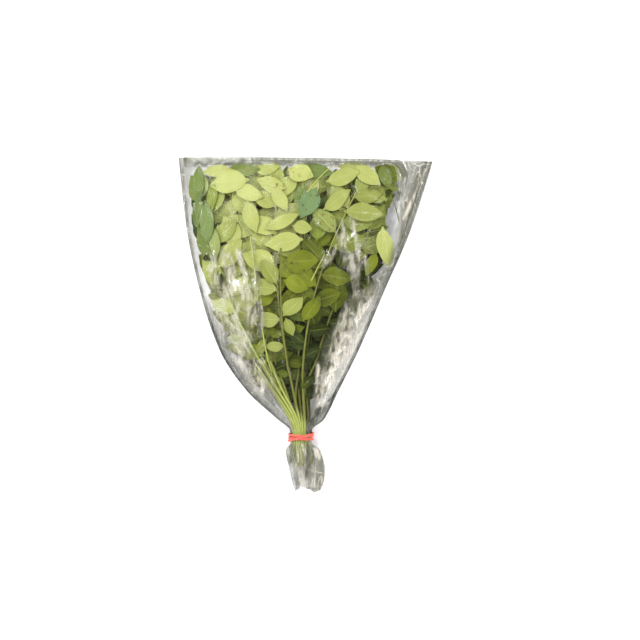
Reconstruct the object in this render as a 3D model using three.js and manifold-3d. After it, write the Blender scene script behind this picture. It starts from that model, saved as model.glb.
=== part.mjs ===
// A bunch of curry leaf sprigs in a clear tapered film sleeve, tied at the neck with a rubber band.
// It lies on its back on a flat surface. +X is to the right, +Y runs from the cut stalk ends to the
// sleeve's open mouth, and +Z is up. The origin is on the surface, under the middle of the whole bunch.
// Sizes are in millimetres and angles in degrees.

import * as THREE from "three";
import Module from "manifold-3d";
import { mergeVertices } from "three/addons/utils/BufferGeometryUtils.js";

const wasm = await Module();
wasm.setup();

const { clamp, degToRad, lerp, smoothstep } = THREE.MathUtils;

// ---- Sleeve: a tube of thin film, gathered at the neck and flared again at the tail ----

// The sleeve's form at places along y: how far out its two side folds lie, the heights of the lower
// sheet, of the side folds and of the upper sheet, and how deep the gathers are.
const RINGS = [
  { y: -168, left: -10, right: 16.5, bed: 2.4, fold: 6.5, top: 13, gather: 1.5 },
  { y: -146, left: -15.5, right: 18.8, bed: 1.8, fold: 9.4, top: 18.6, gather: 1.2 },
  { y: -125, left: -19, right: 14, bed: 1.6, fold: 10.6, top: 20.4, gather: 0.9 },
  { y: -118.5, left: -15.4, right: 6.2, bed: 3, fold: 11.3, top: 19.6, gather: 0.6 },
  { y: -105.5, left: -15.4, right: 6.2, bed: 3, fold: 11.3, top: 19.6, gather: 0.6 },
  { y: -95, left: -27, right: 17.5, bed: 2.4, fold: 11.8, top: 22, gather: 1.1 },
  { y: -66, left: -58.5, right: 32.5, bed: 0, fold: 12.5, top: 29, gather: 1.4 },
  { y: -26, left: -85.5, right: 52.5, bed: 0, fold: 14, top: 38, gather: 1.1 },
  { y: 34, left: -105.5, right: 78.5, bed: 0, fold: 15, top: 43, gather: 0.8 },
  { y: 94, left: -118.5, right: 104.5, bed: 0, fold: 14, top: 40, gather: 0.5 },
  { y: 166, left: -127.5, right: 127.5, bed: 0, fold: 10, top: 28, gather: 0 },
];
const TAIL_Y = RINGS[0].y;
const MOUTH_Y = RINGS[RINGS.length - 1].y;
const MOUTH_HALF_WIDTH = 127.5;
const MOUTH_SLANT = 2; // the mouth's left corner stands this far forward of its middle
const MOUTH_SLANT_FROM = 90;
const TAIL_RAG = 6; // depth of the notches in the tail's cut edge
const TAIL_RAG_LENGTH = 14;
const TAIL_NOTCHES = 3;
// The gathers run round the sleeve in two waves: each one's share of the depth, its count and its turn.
const GATHERS = [
  { share: 0.62, count: 11, turn: 0.5 },
  { share: 0.38, count: 7, turn: 2.1 },
];
const WALL = 0.8;
const SPREAD_FROM = -105; // from here to SPREAD_TO the round neck opens into the flat body
const SPREAD_TO = -45;
const LENS = 0.22; // how much the upper sheet falls off towards the side folds, in the body
const LIE_FLAT = 0.3; // how much of the lower sheet's curve is pressed flat on the surface
const FOLD_WALL = 0.6; // extra depth of film in the side folds, in walls
const SLEEVE_SIDES = 32;
const TAIL_SEGMENTS = 4;
const BODY_SEGMENTS = 10;
const BODY_PACE = 1.5; // over 1 crowds the body's rings towards the neck
const OPEN_END = 1.5; // how far the inside runs past the mouth and the tail, to open them

// ---- Tie: one flat rubber band, wound three times and crossing over itself on top ----

const NECK_Y = -112;
const NECK_HALF = 6.5; // the neck keeps one width this far to either side of NECK_Y
const BAND_TURNS = 3;
const BAND_RISE = 3.8; // from the middle turn to either outer one
const BAND_WIDTH = 2.3;
const BAND_THICKNESS = 0.9;
const BAND_GAP = 0.4;
const BAND_LIFT = 1.2; // how far the crossing strand rides over the others
const BAND_LIFT_PACE = 2.6;
const BAND_CROSSING = 1 / 6; // share of the band's length that crosses back
const BAND_STEPS = 58;

// ---- Sprigs: stalks that fan out of the neck, with leaflets along both sides of each frond's rib ----

const CUT_Y = -141;
const FAN_Y = -102.6; // the stalks are side by side up to here, and fan out beyond
const NECK_X = -4.5;
const NECK_Z = 11.3;
const SLOT_X = 3.7; // spacing of the stalks across the neck
const SLOT_Z = 3.65; // and from row to row
const TAIL_SPLAY = 0.5;
const TAIL_DROP = 1.5;
const LAYERS = 5;
const EASE = 0.93; // share of the room's height that the layers fill
const LEAF_CLEARANCE = 0.5; // between the leaves and the film
const FAN_LENGTH = 275; // from the neck to the mouth, for the bow of a rib
const FAN_X_LENGTH = 62; // how soon a stalk leaves its place in the neck sideways
const FAN_Z_LENGTH = 80; // and upwards or downwards
const FORK_LENGTH = 48;
const STALK_RADIUS = 1.62;
const RIB_RADIUS = 1.15;
const RIB_TIP_RADIUS = 0.55;
const RIB_SIDES = 5;
const RIB_STEP = 29;
const RIB_OVERLAP = 2; // how far the rib runs under its terminal leaflet
const FIRST_LEAFLET = 50; // from the neck to the lowest leaflet
const LEAFLET_PITCH = 14;
const PITCH_STRAY = 0.25;
const LEAN_AT_FOOT = 74; // the lowest leaflets stand out more than the highest ones
const LEAN_AT_TIP = 46;
const LEAN_STRAY = 13;
const LEAN_LEAST = 14; // one by a side fold or the mouth leans this little before it is cut short
const LEAN_TURN = 4; // step by which it is turned
const LEAFLET_LENGTH = 35;
const LENGTH_AT_FOOT = 0.58; // of LEAFLET_LENGTH
const LENGTH_AT_TIP = 0.84;
const LENGTH_STRAY = 0.12;
const LEAFLET_SLENDER = 0.275; // half width over length
const LEAFLET_CROSSING = 2; // how far one may reach past the next rib
const LEAFLET_LEAST = 12; // one that has less room than this is left out
const TERMINAL_LENGTH = 30;
const BLADE = 0.62; // thickness
const BLADE_ROWS = [
  // The blade's outline: share of the length, and share of the half width.
  { along: 0.24, wide: 0.82 },
  { along: 0.5, wide: 1 },
  { along: 0.78, wide: 0.6 },
];
const ROLL = 0.72; // each frond's left side stands this share of half a layer above its rib
const FROND_SPACING = 12.5; // bearing between two fronds of one layer
const BLADE_FOLD = 0.1; // how far a blade's edges stand over its middle, in half layers
const SEAM_LIMIT = 0.95; // how far a leaflet may reach from the sleeve's middle to its side fold
const MOUTH_LIMIT = 163; // and how far along y

// Each sprig has its place among the stalks in the neck, and one or two fronds. A frond has its bearing
// from the neck, its layer from 0 at the lower sheet to 4 at the upper one, its sideways bow, where its
// tip ends along y, and for a second frond how far from the neck it forks off the first.
const SPRIGS = [
  { name: "sprig_1", column: -1, row: -1, fronds: [
    { bearing: -21.5, layer: 0, bow: -18, tip: 153 },
    { bearing: -12, layer: 1, bow: -12, tip: 162, fork: 16 },
  ] },
  { name: "sprig_2", column: 0, row: -1, fronds: [
    { bearing: -3, layer: 0, bow: -4, tip: 160 },
    { bearing: 3, layer: 1, bow: -6, tip: 157, fork: 20 },
  ] },
  { name: "sprig_3", column: 1, row: -1, fronds: [
    { bearing: 11, layer: 0, bow: -8, tip: 156 },
    { bearing: 19, layer: 1, bow: -14, tip: 158, fork: 14 },
  ] },
  { name: "sprig_4", column: -1, row: 0, fronds: [{ bearing: -16.5, layer: 2, bow: -27, tip: 161 }] },
  { name: "sprig_5", column: 0, row: 0, fronds: [{ bearing: -5.5, layer: 2, bow: 1, tip: 152 }] },
  { name: "sprig_6", column: 1, row: 0, fronds: [{ bearing: 10.8, layer: 2, bow: -8, tip: 161 }] },
  { name: "sprig_7", column: -1, row: 1, fronds: [
    { bearing: -20.7, layer: 4, bow: -22.5, tip: 157 },
    { bearing: -9.5, layer: 3, bow: -16, tip: 162, fork: 18 },
  ] },
  { name: "sprig_8", column: 0, row: 1, fronds: [
    { bearing: -4.5, layer: 4, bow: -12, tip: 163 },
    { bearing: 3, layer: 3, bow: -8, tip: 155, fork: 15 },
  ] },
  { name: "sprig_9", column: 1, row: 1, fronds: [
    { bearing: 15.6, layer: 4, bow: -23.5, tip: 162 },
    { bearing: 22.8, layer: 3, bow: -18.5, tip: 124, fork: 22 },
  ] },
];

// ---- Finishes ----

const FILM = { color: 0xc9cbc4, roughness: 0.18, metalness: 0, transparent: true, opacity: 0.35 };
const RUBBER = { color: 0xc8443a, roughness: 0.55, metalness: 0 };
const LEAF = { color: 0x9fb05e, roughness: 0.5, metalness: 0, flatShading: true };

// ---- Small helpers ----

const MERGE_DISTANCE = 1e-4;

// A repeatable number from -1 to 1 for each pair of indices.
function wobble(i, j) {
  const wave = Math.sin(i * 12.9898 + j * 78.233) * 43758.5453;
  return 2 * (wave - Math.floor(wave)) - 1;
}

// A solid of a closed geometry's triangles, which can be joined and cut.
function solidOf(geometry) {
  const bare = geometry.clone();
  bare.deleteAttribute("normal");
  bare.deleteAttribute("uv");
  const merged = mergeVertices(bare, MERGE_DISTANCE);
  return new wasm.Manifold(
    new wasm.Mesh({
      numProp: 3,
      vertProperties: new Float32Array(merged.attributes.position.array),
      triVerts: new Uint32Array(merged.index.array),
    }),
  );
}

// A named mesh of a solid's triangles.
function meshOf(name, solid, finish) {
  const made = solid.getMesh();
  const geometry = new THREE.BufferGeometry();
  geometry.setAttribute("position", new THREE.BufferAttribute(new Float32Array(made.vertProperties), 3));
  geometry.setIndex(new THREE.BufferAttribute(made.triVerts, 1));
  geometry.computeVertexNormals();
  const mesh = new THREE.Mesh(geometry, new THREE.MeshStandardMaterial(finish));
  mesh.name = name;
  return mesh;
}

// A plate of one thickness under a sheet of faces, closed along the sheet's rim. Both sides are split
// into the same triangles.
function plate(sheet, faces, rim, thickness) {
  const count = sheet.length;
  const positions = sheet.flatMap((p) => [p.x, p.y, p.z + thickness / 2]);
  positions.push(...sheet.flatMap((p) => [p.x, p.y, p.z - thickness / 2]));
  const index = faces.flatMap(([a, b, c]) => [a, b, c, a + count, c + count, b + count]);
  rim.forEach((a, k) => {
    const b = rim[(k + 1) % rim.length];
    index.push(a, b, b + count, a, b + count, a + count);
  });
  const geometry = new THREE.BufferGeometry();
  geometry.setAttribute("position", new THREE.Float32BufferAttribute(positions, 3));
  geometry.setIndex(index);
  return geometry;
}

// ---- The sleeve ----

// How fast one of the values changes from ring k to the next.
function ringChange(key, k) {
  const i = clamp(k, 0, RINGS.length - 2);
  return (RINGS[i + 1][key] - RINGS[i][key]) / (RINGS[i + 1].y - RINGS[i].y);
}

// One of the values in RINGS at any y, by a cubic through them that never overshoots.
function ringValue(key, y) {
  let i = 0;
  while (i < RINGS.length - 2 && y > RINGS[i + 1].y) i += 1;
  const slope = (k) => {
    const [before, after] = [ringChange(key, k - 1), ringChange(key, k)];
    return before * after <= 0 ? 0 : (2 * before * after) / (before + after);
  };
  const from = RINGS[i];
  const to = RINGS[i + 1];
  const span = to.y - from.y;
  const t = (y - from.y) / span;
  const u = 1 - t;
  const ends = from[key] * (1 + 2 * t) * u * u + to[key] * (1 + 2 * u) * t * t;
  return ends + span * t * u * (u * slope(i) - t * slope(i + 1));
}

// All the values of the ring at y.
function ringAt(y) {
  const [left, right] = [ringValue("left", y), ringValue("right", y)];
  return {
    middle: (left + right) / 2,
    half: (right - left) / 2,
    bed: ringValue("bed", y),
    fold: ringValue("fold", y),
    top: ringValue("top", y),
    gather: ringValue("gather", y),
    spread: smoothstep(y, SPREAD_FROM, SPREAD_TO),
  };
}

// The gathers round the sleeve, as a share of their depth.
function gatherWave(angle) {
  return GATHERS.reduce((sum, { share, count, turn }) => sum + share * Math.cos(count * angle + turn), 0);
}

// A point of the sleeve at an angle round it, from the right fold over the upper sheet, sunk by inset.
function sleevePoint(angle, y, inset) {
  const ring = ringAt(y);
  const [across, up] = [Math.cos(angle), Math.sin(angle)];
  const depth = ring.gather * gatherWave(angle) * (up < 0 ? 1 - ring.spread : 1);
  const half = ring.half - inset * (1 + FOLD_WALL * ring.spread);
  const rise =
    up >= 0
      ? (ring.top - inset - ring.fold) * up ** (1 + LENS * ring.spread)
      : (ring.bed + inset - ring.fold) * Math.min(1, -up * (1 + LIE_FLAT * ring.spread));
  const x = ring.middle + (half + depth) * across;
  const slant = (-MOUTH_SLANT * x * smoothstep(y, MOUTH_SLANT_FROM, MOUTH_Y)) / MOUTH_HALF_WIDTH;
  const notch = (TAIL_RAG / 2) * (1 - Math.cos(TAIL_NOTCHES * (angle - Math.PI)));
  const rag = notch * (1 - smoothstep(y, TAIL_Y, TAIL_Y + TAIL_RAG_LENGTH));
  return new THREE.Vector3(x, y + slant + rag, Math.max(inset, ring.fold + rise + depth * up));
}

// Where ring k lies along y, counted from the tail. The first and last run past the ends.
function ringY(k, past) {
  const body = k - TAIL_SEGMENTS - 1;
  if (k === 0) return TAIL_Y - past;
  if (k <= TAIL_SEGMENTS) return lerp(TAIL_Y, NECK_Y - NECK_HALF, k / TAIL_SEGMENTS);
  if (body < BODY_SEGMENTS) return lerp(NECK_Y + NECK_HALF, MOUTH_Y, (body / BODY_SEGMENTS) ** BODY_PACE);
  return MOUTH_Y + past;
}

// A closed barrel bent to the sleeve's form, sunk by inset and run past both ends.
function sleeveBarrel(inset, past) {
  const segments = TAIL_SEGMENTS + 1 + BODY_SEGMENTS;
  const barrel = new THREE.CylinderGeometry(1, 1, 1, SLEEVE_SIDES, segments);
  const position = barrel.attributes.position;
  for (let i = 0; i < position.count; i += 1) {
    const [side, axial, front] = [position.getX(i), position.getY(i), position.getZ(i)];
    const y = ringY(Math.round((axial + 0.5) * segments), past);
    const onAxis = Math.hypot(side, front) < 0.5;
    const ring = ringAt(y);
    const point = onAxis
      ? new THREE.Vector3(ring.middle, y, ring.fold)
      : sleevePoint(Math.atan2(front, side), y, inset);
    position.setXYZ(i, point.x, point.y, point.z);
  }
  return solidOf(barrel);
}

function buildSleeve() {
  const shell = sleeveBarrel(0, 0).subtract(sleeveBarrel(WALL, OPEN_END));
  return meshOf("sleeve", shell, FILM);
}

// ---- The rubber band ----

// The middle of the strand at share t of the band's length, and the way out from the neck there.
function bandPoint(t) {
  const wound = clamp(t / (1 - BAND_CROSSING), 0, 1);
  const crossed = clamp(1 - (1 - t) / BAND_CROSSING, 0, 1);
  const along = crossed > 0 ? 1 - 2 * smoothstep(crossed, 0, 1) : 2 * wound - 1;
  const lift = BAND_LIFT * Math.min(1, BAND_LIFT_PACE * Math.sin(Math.PI * crossed));
  // The crossing half turn is centred on the top of the neck.
  const angle = 2 * Math.PI * (BAND_TURNS * (t - 1 + BAND_CROSSING / 2) + 0.25);
  const out = new THREE.Vector3(Math.cos(angle), 0, Math.sin(angle));
  const y = NECK_Y + BAND_RISE * along;
  const ring = ringAt(y);
  const stand = ring.gather + BAND_GAP + BAND_THICKNESS / 2 + lift;
  const middle = new THREE.Vector3(
    ring.middle + (ring.half + stand) * out.x,
    y,
    (ring.bed + ring.top) / 2 + ((ring.top - ring.bed) / 2 + stand) * out.z,
  );
  return { middle, out };
}

// A strand of flat section that runs round and closes on itself.
function buildBand() {
  const corners = [
    [-1, -1],
    [-1, 1],
    [1, 1],
    [1, -1],
  ];
  const positions = [];
  const index = [];
  for (let i = 0; i < BAND_STEPS; i += 1) {
    const { middle, out } = bandPoint(i / BAND_STEPS);
    const ahead = bandPoint(((i + 1) % BAND_STEPS) / BAND_STEPS).middle;
    const behind = bandPoint(((i + BAND_STEPS - 1) % BAND_STEPS) / BAND_STEPS).middle;
    const wide = ahead.sub(behind).cross(out).normalize();
    for (const [a, b] of corners) {
      const corner = middle.clone();
      corner.addScaledVector(wide, (a * BAND_WIDTH) / 2);
      corner.addScaledVector(out, (b * BAND_THICKNESS) / 2);
      positions.push(corner.x, corner.y, corner.z);
    }
    const next = ((i + 1) % BAND_STEPS) * 4;
    for (let k = 0; k < 4; k += 1) {
      const other = (k + 1) % 4;
      index.push(i * 4 + k, next + other, next + k, i * 4 + k, i * 4 + other, next + other);
    }
  }
  const geometry = new THREE.BufferGeometry();
  geometry.setAttribute("position", new THREE.Float32BufferAttribute(positions, 3));
  geometry.setIndex(index);
  return meshOf("rubber_band", solidOf(geometry), RUBBER);
}

// ---- The sprigs ----

// How far a place is from the sleeve's middle to the room's side, and the lowest and highest that a
// blade may lie there.
function leafRoom(x, y) {
  const ring = ringAt(y);
  const clear = WALL + LEAF_CLEARANCE + ring.gather;
  const reach = (x - ring.middle) / (ring.half - clear * (1 + FOLD_WALL * ring.spread));
  const up = Math.sqrt(1 - Math.min(Math.abs(reach), 0.98) ** 2);
  const ceiling = ring.top - clear - BLADE / 2 - ring.fold;
  const floor = ring.fold - ring.bed - WALL - LEAF_CLEARANCE - BLADE / 2;
  return {
    reach,
    low: ring.fold - floor * Math.min(1, up * (1 + LIE_FLAT * ring.spread)),
    high: ring.fold + ceiling * up ** (1 + LENS * ring.spread),
  };
}

// The height at which a frond lies at a place: its stalk's own height in the neck, and its layer's
// further on. Lift moves it within the layer, from -1 at the layer's foot to 1 at its top.
function lieHeight(sprig, frond, x, y, lift) {
  const { low, high } = leafRoom(x, y);
  const inNeck = NECK_Z + SLOT_Z * sprig.row;
  const inLayer = lerp(low, high, (EASE * (frond.layer + 0.5 + 0.5 * lift)) / LAYERS);
  return lerp(inNeck, inLayer, smoothstep(y - FAN_Y, 0, FAN_Z_LENGTH));
}

// A frond's line on its own: a ray out of the stalk's place in the neck, bowed sideways.
function rayPoint(sprig, frond, y) {
  const reach = y - FAN_Y;
  const slot = SLOT_X * sprig.column;
  if (reach <= 0) {
    const towardsCut = reach / (CUT_Y - FAN_Y);
    const x = NECK_X + slot * (1 + TAIL_SPLAY * towardsCut);
    return new THREE.Vector3(x, y, NECK_Z + SLOT_Z * sprig.row - TAIL_DROP * towardsCut);
  }
  const bow = frond.bow * Math.sin((Math.PI * reach) / FAN_LENGTH);
  const swing = Math.tan(degToRad(frond.bearing)) * reach + bow;
  const x = NECK_X + slot * (1 - smoothstep(reach, 0, FAN_X_LENGTH)) + swing;
  return new THREE.Vector3(x, y, lieHeight(sprig, frond, x, y, 0));
}

// A point of a frond's rib. A second frond keeps to the first one's line until its fork.
function ribPoint(sprig, frond, y) {
  const own = rayPoint(sprig, frond, y);
  if (frond.fork === undefined) return own;
  const parting = smoothstep(y - FAN_Y, frond.fork, frond.fork + FORK_LENGTH);
  return rayPoint(sprig, sprig.fronds[0], y).lerp(own, parting);
}

function ribRadius(frond, y, end) {
  const base = frond.fork === undefined ? STALK_RADIUS : RIB_RADIUS;
  const leafy = FAN_Y + FIRST_LEAFLET;
  if (y < leafy) return lerp(base, RIB_RADIUS, smoothstep(y, FAN_Y, leafy));
  return lerp(RIB_RADIUS, RIB_TIP_RADIUS, (y - leafy) / (end - leafy));
}

// Points of a frond's rib at even steps along y, from its cut end or its fork to its terminal leaflet.
function ribLine(sprig, frond) {
  const start = frond.fork === undefined ? CUT_Y : FAN_Y + frond.fork;
  const end = frond.tip - TERMINAL_LENGTH + RIB_OVERLAP;
  const steps = Math.round((end - start) / RIB_STEP);
  return Array.from({ length: steps + 1 }, (_, k) => ribPoint(sprig, frond, lerp(start, end, k / steps)));
}

// The point at y on the straight pieces of a rib's line.
function pointOn(line, y) {
  const end = line.length - 1;
  const at = ((y - line[0].y) / (line[end].y - line[0].y)) * end;
  const k = Math.min(Math.floor(at), end - 1);
  return line[k].clone().lerp(line[k + 1], at - k);
}

// A tapered round stem along a rib's line.
function buildRib(frond, line) {
  const end = line.length - 1;
  const stem = new THREE.CylinderGeometry(1, 1, 1, RIB_SIDES, end);
  const position = stem.attributes.position;
  const up = new THREE.Vector3(0, 0, 1);
  for (let i = 0; i < position.count; i += 1) {
    const k = Math.round((0.5 + position.getY(i)) * end);
    const ahead = line[Math.min(k + 1, end)].clone().sub(line[Math.max(k - 1, 0)]).normalize();
    const side = new THREE.Vector3().crossVectors(ahead, up).normalize();
    const over = new THREE.Vector3().crossVectors(side, ahead);
    const radius = ribRadius(frond, line[k].y, line[end].y);
    const point = line[k].clone();
    point.addScaledVector(side, position.getX(i) * radius);
    point.addScaledVector(over, position.getZ(i) * radius);
    position.setXYZ(i, point.x, point.y, point.z);
  }
  return solidOf(stem);
}

// How far apart the fronds of one layer stand at y.
function frondSpacing(y) {
  return Math.tan(degToRad(FROND_SPACING)) * (y - FAN_Y);
}

// The height of a blade at a place beside its frond's rib. The whole frond is rolled about its rib, so
// that it passes over its right neighbour in the layer and under its left one.
function bladeHeight(sprig, frond, x, y, lift) {
  const aside = clamp((ribPoint(sprig, frond, y).x - x) / frondSpacing(y), -1, 1);
  return lieHeight(sprig, frond, x, y, ROLL * aside + lift);
}

// A blade's faces and rim. Its points are its root, then the left edge, middle and right edge of each
// row, and last its tip.
function bladeLayout() {
  const tip = 1 + 3 * BLADE_ROWS.length;
  const lefts = BLADE_ROWS.map((_, row) => 1 + 3 * row);
  const faces = [
    [0, 2, 1],
    [0, 3, 2],
    [tip - 3, tip - 2, tip],
    [tip - 2, tip - 1, tip],
  ];
  for (const left of lefts.slice(0, -1)) {
    for (const a of [left, left + 1]) faces.push([a, a + 1, a + 4], [a, a + 4, a + 3]);
  }
  const rights = lefts.map((left) => left + 2).reverse();
  return { faces, rim: [0, ...lefts, tip, ...rights] };
}

// One blade on a frond: a plate laid along its heading from its root on the rib, and folded a little
// along its middle.
function buildBlade(sprig, frond, root, heading, length) {
  const [ahead, aside] = [Math.cos(heading), Math.sin(heading)];
  const place = (along, out, lift) => {
    const x = root.x + aside * along + ahead * out;
    const y = root.y + ahead * along - aside * out;
    return new THREE.Vector3(x, y, bladeHeight(sprig, frond, x, y, lift));
  };
  const sheet = [root];
  for (const { along, wide } of BLADE_ROWS) {
    for (const column of [-1, 0, 1]) {
      const out = column * wide * length * LEAFLET_SLENDER;
      sheet.push(place(along * length, out, BLADE_FOLD * (Math.abs(column) - 0.5)));
    }
  }
  sheet.push(place(length, 0, 0));
  const { faces, rim } = bladeLayout();
  return solidOf(plate(sheet, faces, rim, BLADE));
}

// The leaflets of a frond stand alternately to its left and right. They are longest half way up, and
// lean forward more towards the tip.
function buildLeaflets(sprig, frond, line, number) {
  const leafy = FAN_Y + Math.max(FIRST_LEAFLET, (frond.fork ?? 0) + FORK_LENGTH);
  const end = frond.tip - TERMINAL_LENGTH;
  const first = leafy + LEAFLET_PITCH * (0.5 + 0.5 * wobble(number, 300));
  const count = Math.floor((end - leafy) / LEAFLET_PITCH);
  const blades = [];
  for (let i = 0; i <= count; i += 1) {
    const share = i / count;
    const y = lerp(first, end, (i + PITCH_STRAY * wobble(number, i)) / (count + PITCH_STRAY));
    const root = pointOn(line, y);
    const ahead = pointOn(line, y + 1);
    const along = Math.atan2(ahead.x - root.x, ahead.y - root.y);
    const side = (i + number) % 2 === 0 ? 1 : -1;
    let lean = lerp(LEAN_AT_FOOT, LEAN_AT_TIP, share ** 2) + LEAN_STRAY * wobble(number, i + 100);
    let heading = along + side * degToRad(lean);
    const grown =
      lerp(LENGTH_AT_FOOT, 1, smoothstep(share, 0, 0.4)) * lerp(1, LENGTH_AT_TIP, smoothstep(share, 0.6, 1));
    const room = frondSpacing(y) + LEAFLET_CROSSING;
    const stray = 1 + LENGTH_STRAY * wobble(number, i + 200);
    let length = Math.min(room, LEAFLET_LENGTH * grown * stray);
    while (lean > LEAN_LEAST && !fits(root, heading, length)) {
      lean -= LEAN_TURN;
      heading = along + side * degToRad(lean);
    }
    while (length >= LEAFLET_LEAST && !fits(root, heading, length)) length -= 1;
    if (length >= LEAFLET_LEAST) blades.push(buildBlade(sprig, frond, root, heading, length));
  }
  const root = pointOn(line, end);
  const tip = ribPoint(sprig, frond, frond.tip);
  blades.push(buildBlade(sprig, frond, root, Math.atan2(tip.x - root.x, tip.y - root.y), TERMINAL_LENGTH));
  return blades;
}

// Whether a blade's tip stays inside the sleeve's side folds and mouth.
function fits(root, heading, length) {
  const x = root.x + Math.sin(heading) * length;
  const y = root.y + Math.cos(heading) * length;
  return y < MOUTH_LIMIT && Math.abs(leafRoom(x, y).reach) < SEAM_LIMIT;
}

// A sprig is one body: its stalk, its ribs and all their leaflets.
function buildSprig(sprig, first) {
  const pieces = sprig.fronds.flatMap((frond, k) => {
    const line = ribLine(sprig, frond);
    return [buildRib(frond, line), ...buildLeaflets(sprig, frond, line, first + k)];
  });
  return meshOf(sprig.name, wasm.Manifold.union(pieces), LEAF);
}

// ---- The whole bunch ----

const bunch = new THREE.Group();
bunch.name = "curry_leaf_bunch";
bunch.add(buildSleeve());
bunch.add(buildBand());
let frondNumber = 0;
for (const sprig of SPRIGS) {
  bunch.add(buildSprig(sprig, frondNumber));
  frondNumber += sprig.fronds.length;
}

export default bunch;
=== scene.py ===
"""Curry leaf sprigs in a clear tapered sleeve, tied at its neck with a red rubber band.

The bunch lies on its lower sheet. +Y runs from the ragged tail to the open mouth and +Z is up. The
forms are worked out in millimetres, as in the part's source, and written to the meshes in metres.
"""

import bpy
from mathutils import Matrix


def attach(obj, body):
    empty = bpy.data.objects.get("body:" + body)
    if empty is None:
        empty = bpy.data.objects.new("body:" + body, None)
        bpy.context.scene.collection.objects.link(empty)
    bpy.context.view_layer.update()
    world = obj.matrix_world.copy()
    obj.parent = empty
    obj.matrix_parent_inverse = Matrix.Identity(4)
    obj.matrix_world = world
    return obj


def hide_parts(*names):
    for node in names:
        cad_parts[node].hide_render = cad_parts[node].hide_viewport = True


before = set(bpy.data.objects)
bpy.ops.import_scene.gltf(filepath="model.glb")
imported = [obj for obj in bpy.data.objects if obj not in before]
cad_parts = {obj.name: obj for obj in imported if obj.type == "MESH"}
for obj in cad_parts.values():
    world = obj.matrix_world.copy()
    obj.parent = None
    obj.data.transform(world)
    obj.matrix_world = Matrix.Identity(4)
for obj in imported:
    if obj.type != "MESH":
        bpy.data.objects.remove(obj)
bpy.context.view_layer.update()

import logging
import math
from collections.abc import Callable
from dataclasses import dataclass, field, replace
from enum import Enum, IntEnum
from functools import partial

import bpy
import numpy as np
from mathutils import Vector

LOG = logging.getLogger("curry_leaf_bunch")
MM = 0.001
BODY = "root"
LEAF_DEEP = "leaf_deep"
LEAF_PALE = "leaf_pale"

Colour = tuple[float, float, float, float]
Triple = tuple[float, float, float]
Span = tuple[float, float]
Array = np.ndarray
Item = bpy.types.Object
Material = bpy.types.Material
Tree = bpy.types.NodeTree
Node = bpy.types.Node
Outputs = bpy.types.NodeOutputs
Socket = bpy.types.NodeSocket
Value = Socket | float
Names = tuple[str, ...]

# A whole share, and the group inputs that are vectors.
WHOLE: Span = (0.0, 1.0)
VECTOR_INPUTS = ("Vector", "UV")

# What scatters the numbers of `wobble`, and how far apart `drift` reads its patterns.
SCATTER_I = 12.9898
SCATTER_J = 78.233
SCATTER = 43758.5453
PATTERN_COLUMN = 57.1
PATTERN_ROW = 13.7

# The curve between a screen's 0 to 255 steps and linear light.
SCREEN_STEPS = 255
SCREEN_KNEE = 10
SCREEN_SLOPE = 12.92
SCREEN_LIFT = 0.055
SCREEN_POWER = 2.4


class Stray(IntEnum):
    """What strays by a leaflet's or a frond's own number, and where `wobble` is read for it."""

    WIDTH = 1
    OBLIQUE = 2
    CURL = 3
    FOLD = 4
    WAVE = 5
    ARCH = 6
    SIDE = 7
    TONE = 8
    WORN = 9
    COOL = 10
    ACROSS = 11
    ALONG = 12
    LENGTH = 13
    HEADING = 14
    FROND_LEAN = 100
    FROND_LENGTH = 200
    FROND_START = 300


class Pattern(IntEnum):
    """The patterns of noise, each with the first of its numbers."""

    CREASE_DENSITY = 1
    CREASE_BEND = 2
    SMEAR_BROAD = 3
    SMEAR_FINE = 4
    CRUMPLE_BEND = 5
    PULL_BEND = 9
    PULL_FINE_BEND = 10
    FRAY = 12
    TAIL_BROAD = 14
    BAND_SWELL = 15
    TAIL_FINE = 16
    CRUMPLE = 20
    PULL = 40
    PULL_FINE = 41
    PLEAT = 60


# ---- Numbers ----


def lerp(start: Array | float, end: Array | float, share: Array | float) -> Array | float:
    """The value at a share of the way from start to end."""
    return start + (end - start) * share


def smoothstep(value: Array | float, start: float, end: float) -> Array | float:
    """A smooth climb from 0 at start to 1 at end."""
    share = np.clip((value - start) / (end - start), 0.0, 1.0)
    return share * share * (3.0 - 2.0 * share)


def wobble(i: Array | float, j: Array | float) -> Array | float:
    """A repeatable number from -1 to 1 for each pair of indices."""
    wave = np.sin(i * SCATTER_I + j * SCATTER_J) * SCATTER
    return 2.0 * (wave - np.floor(wave)) - 1.0


def drift(x: Array, y: Array, pattern: float) -> Array:
    """Smooth noise from -1 to 1 on a unit lattice.

    Args:
        x: Places along the first axis.
        y: Places along the second axis.
        pattern: The pattern's number.

    Returns:
        The noise at each place.
    """
    column, row = np.floor(x), np.floor(y)
    across, along = x - column, y - row
    across, along = across * across * (3 - 2 * across), along * along * (3 - 2 * along)
    i, j = PATTERN_COLUMN * pattern, PATTERN_ROW * pattern
    corner = [[wobble(column + a + i, row + b + j) for a in (0, 1)] for b in (0, 1)]
    return lerp(lerp(corner[0][0], corner[0][1], across), lerp(corner[1][0], corner[1][1], across), along)


def sway(x: Array, y: Array, bend: Span, pattern: float) -> Array:
    """Noise that strays as far as the bend's first number, in waves as long as its second."""
    return bend[0] * drift(x / bend[1], y / bend[1], pattern)


def facets(t: Array, pattern: float) -> Array:
    """Straight runs between random heights from -1 to 1, with a sharp kink at each whole number."""
    cell = np.floor(t)
    return lerp(wobble(cell, pattern), wobble(cell + 1, pattern), t - cell)


def bell(far: Array, reach: float) -> Array:
    """1 where far is 0, falling off evenly on both sides over the reach."""
    return np.exp(-((far / reach) ** 2))


def linear(step: int) -> float:
    """One channel of a colour, from its 0 to 255 step to linear light."""
    share = step / SCREEN_STEPS
    if step <= SCREEN_KNEE:
        return share / SCREEN_SLOPE
    return ((share + SCREEN_LIFT) / (1 + SCREEN_LIFT)) ** SCREEN_POWER


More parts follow.
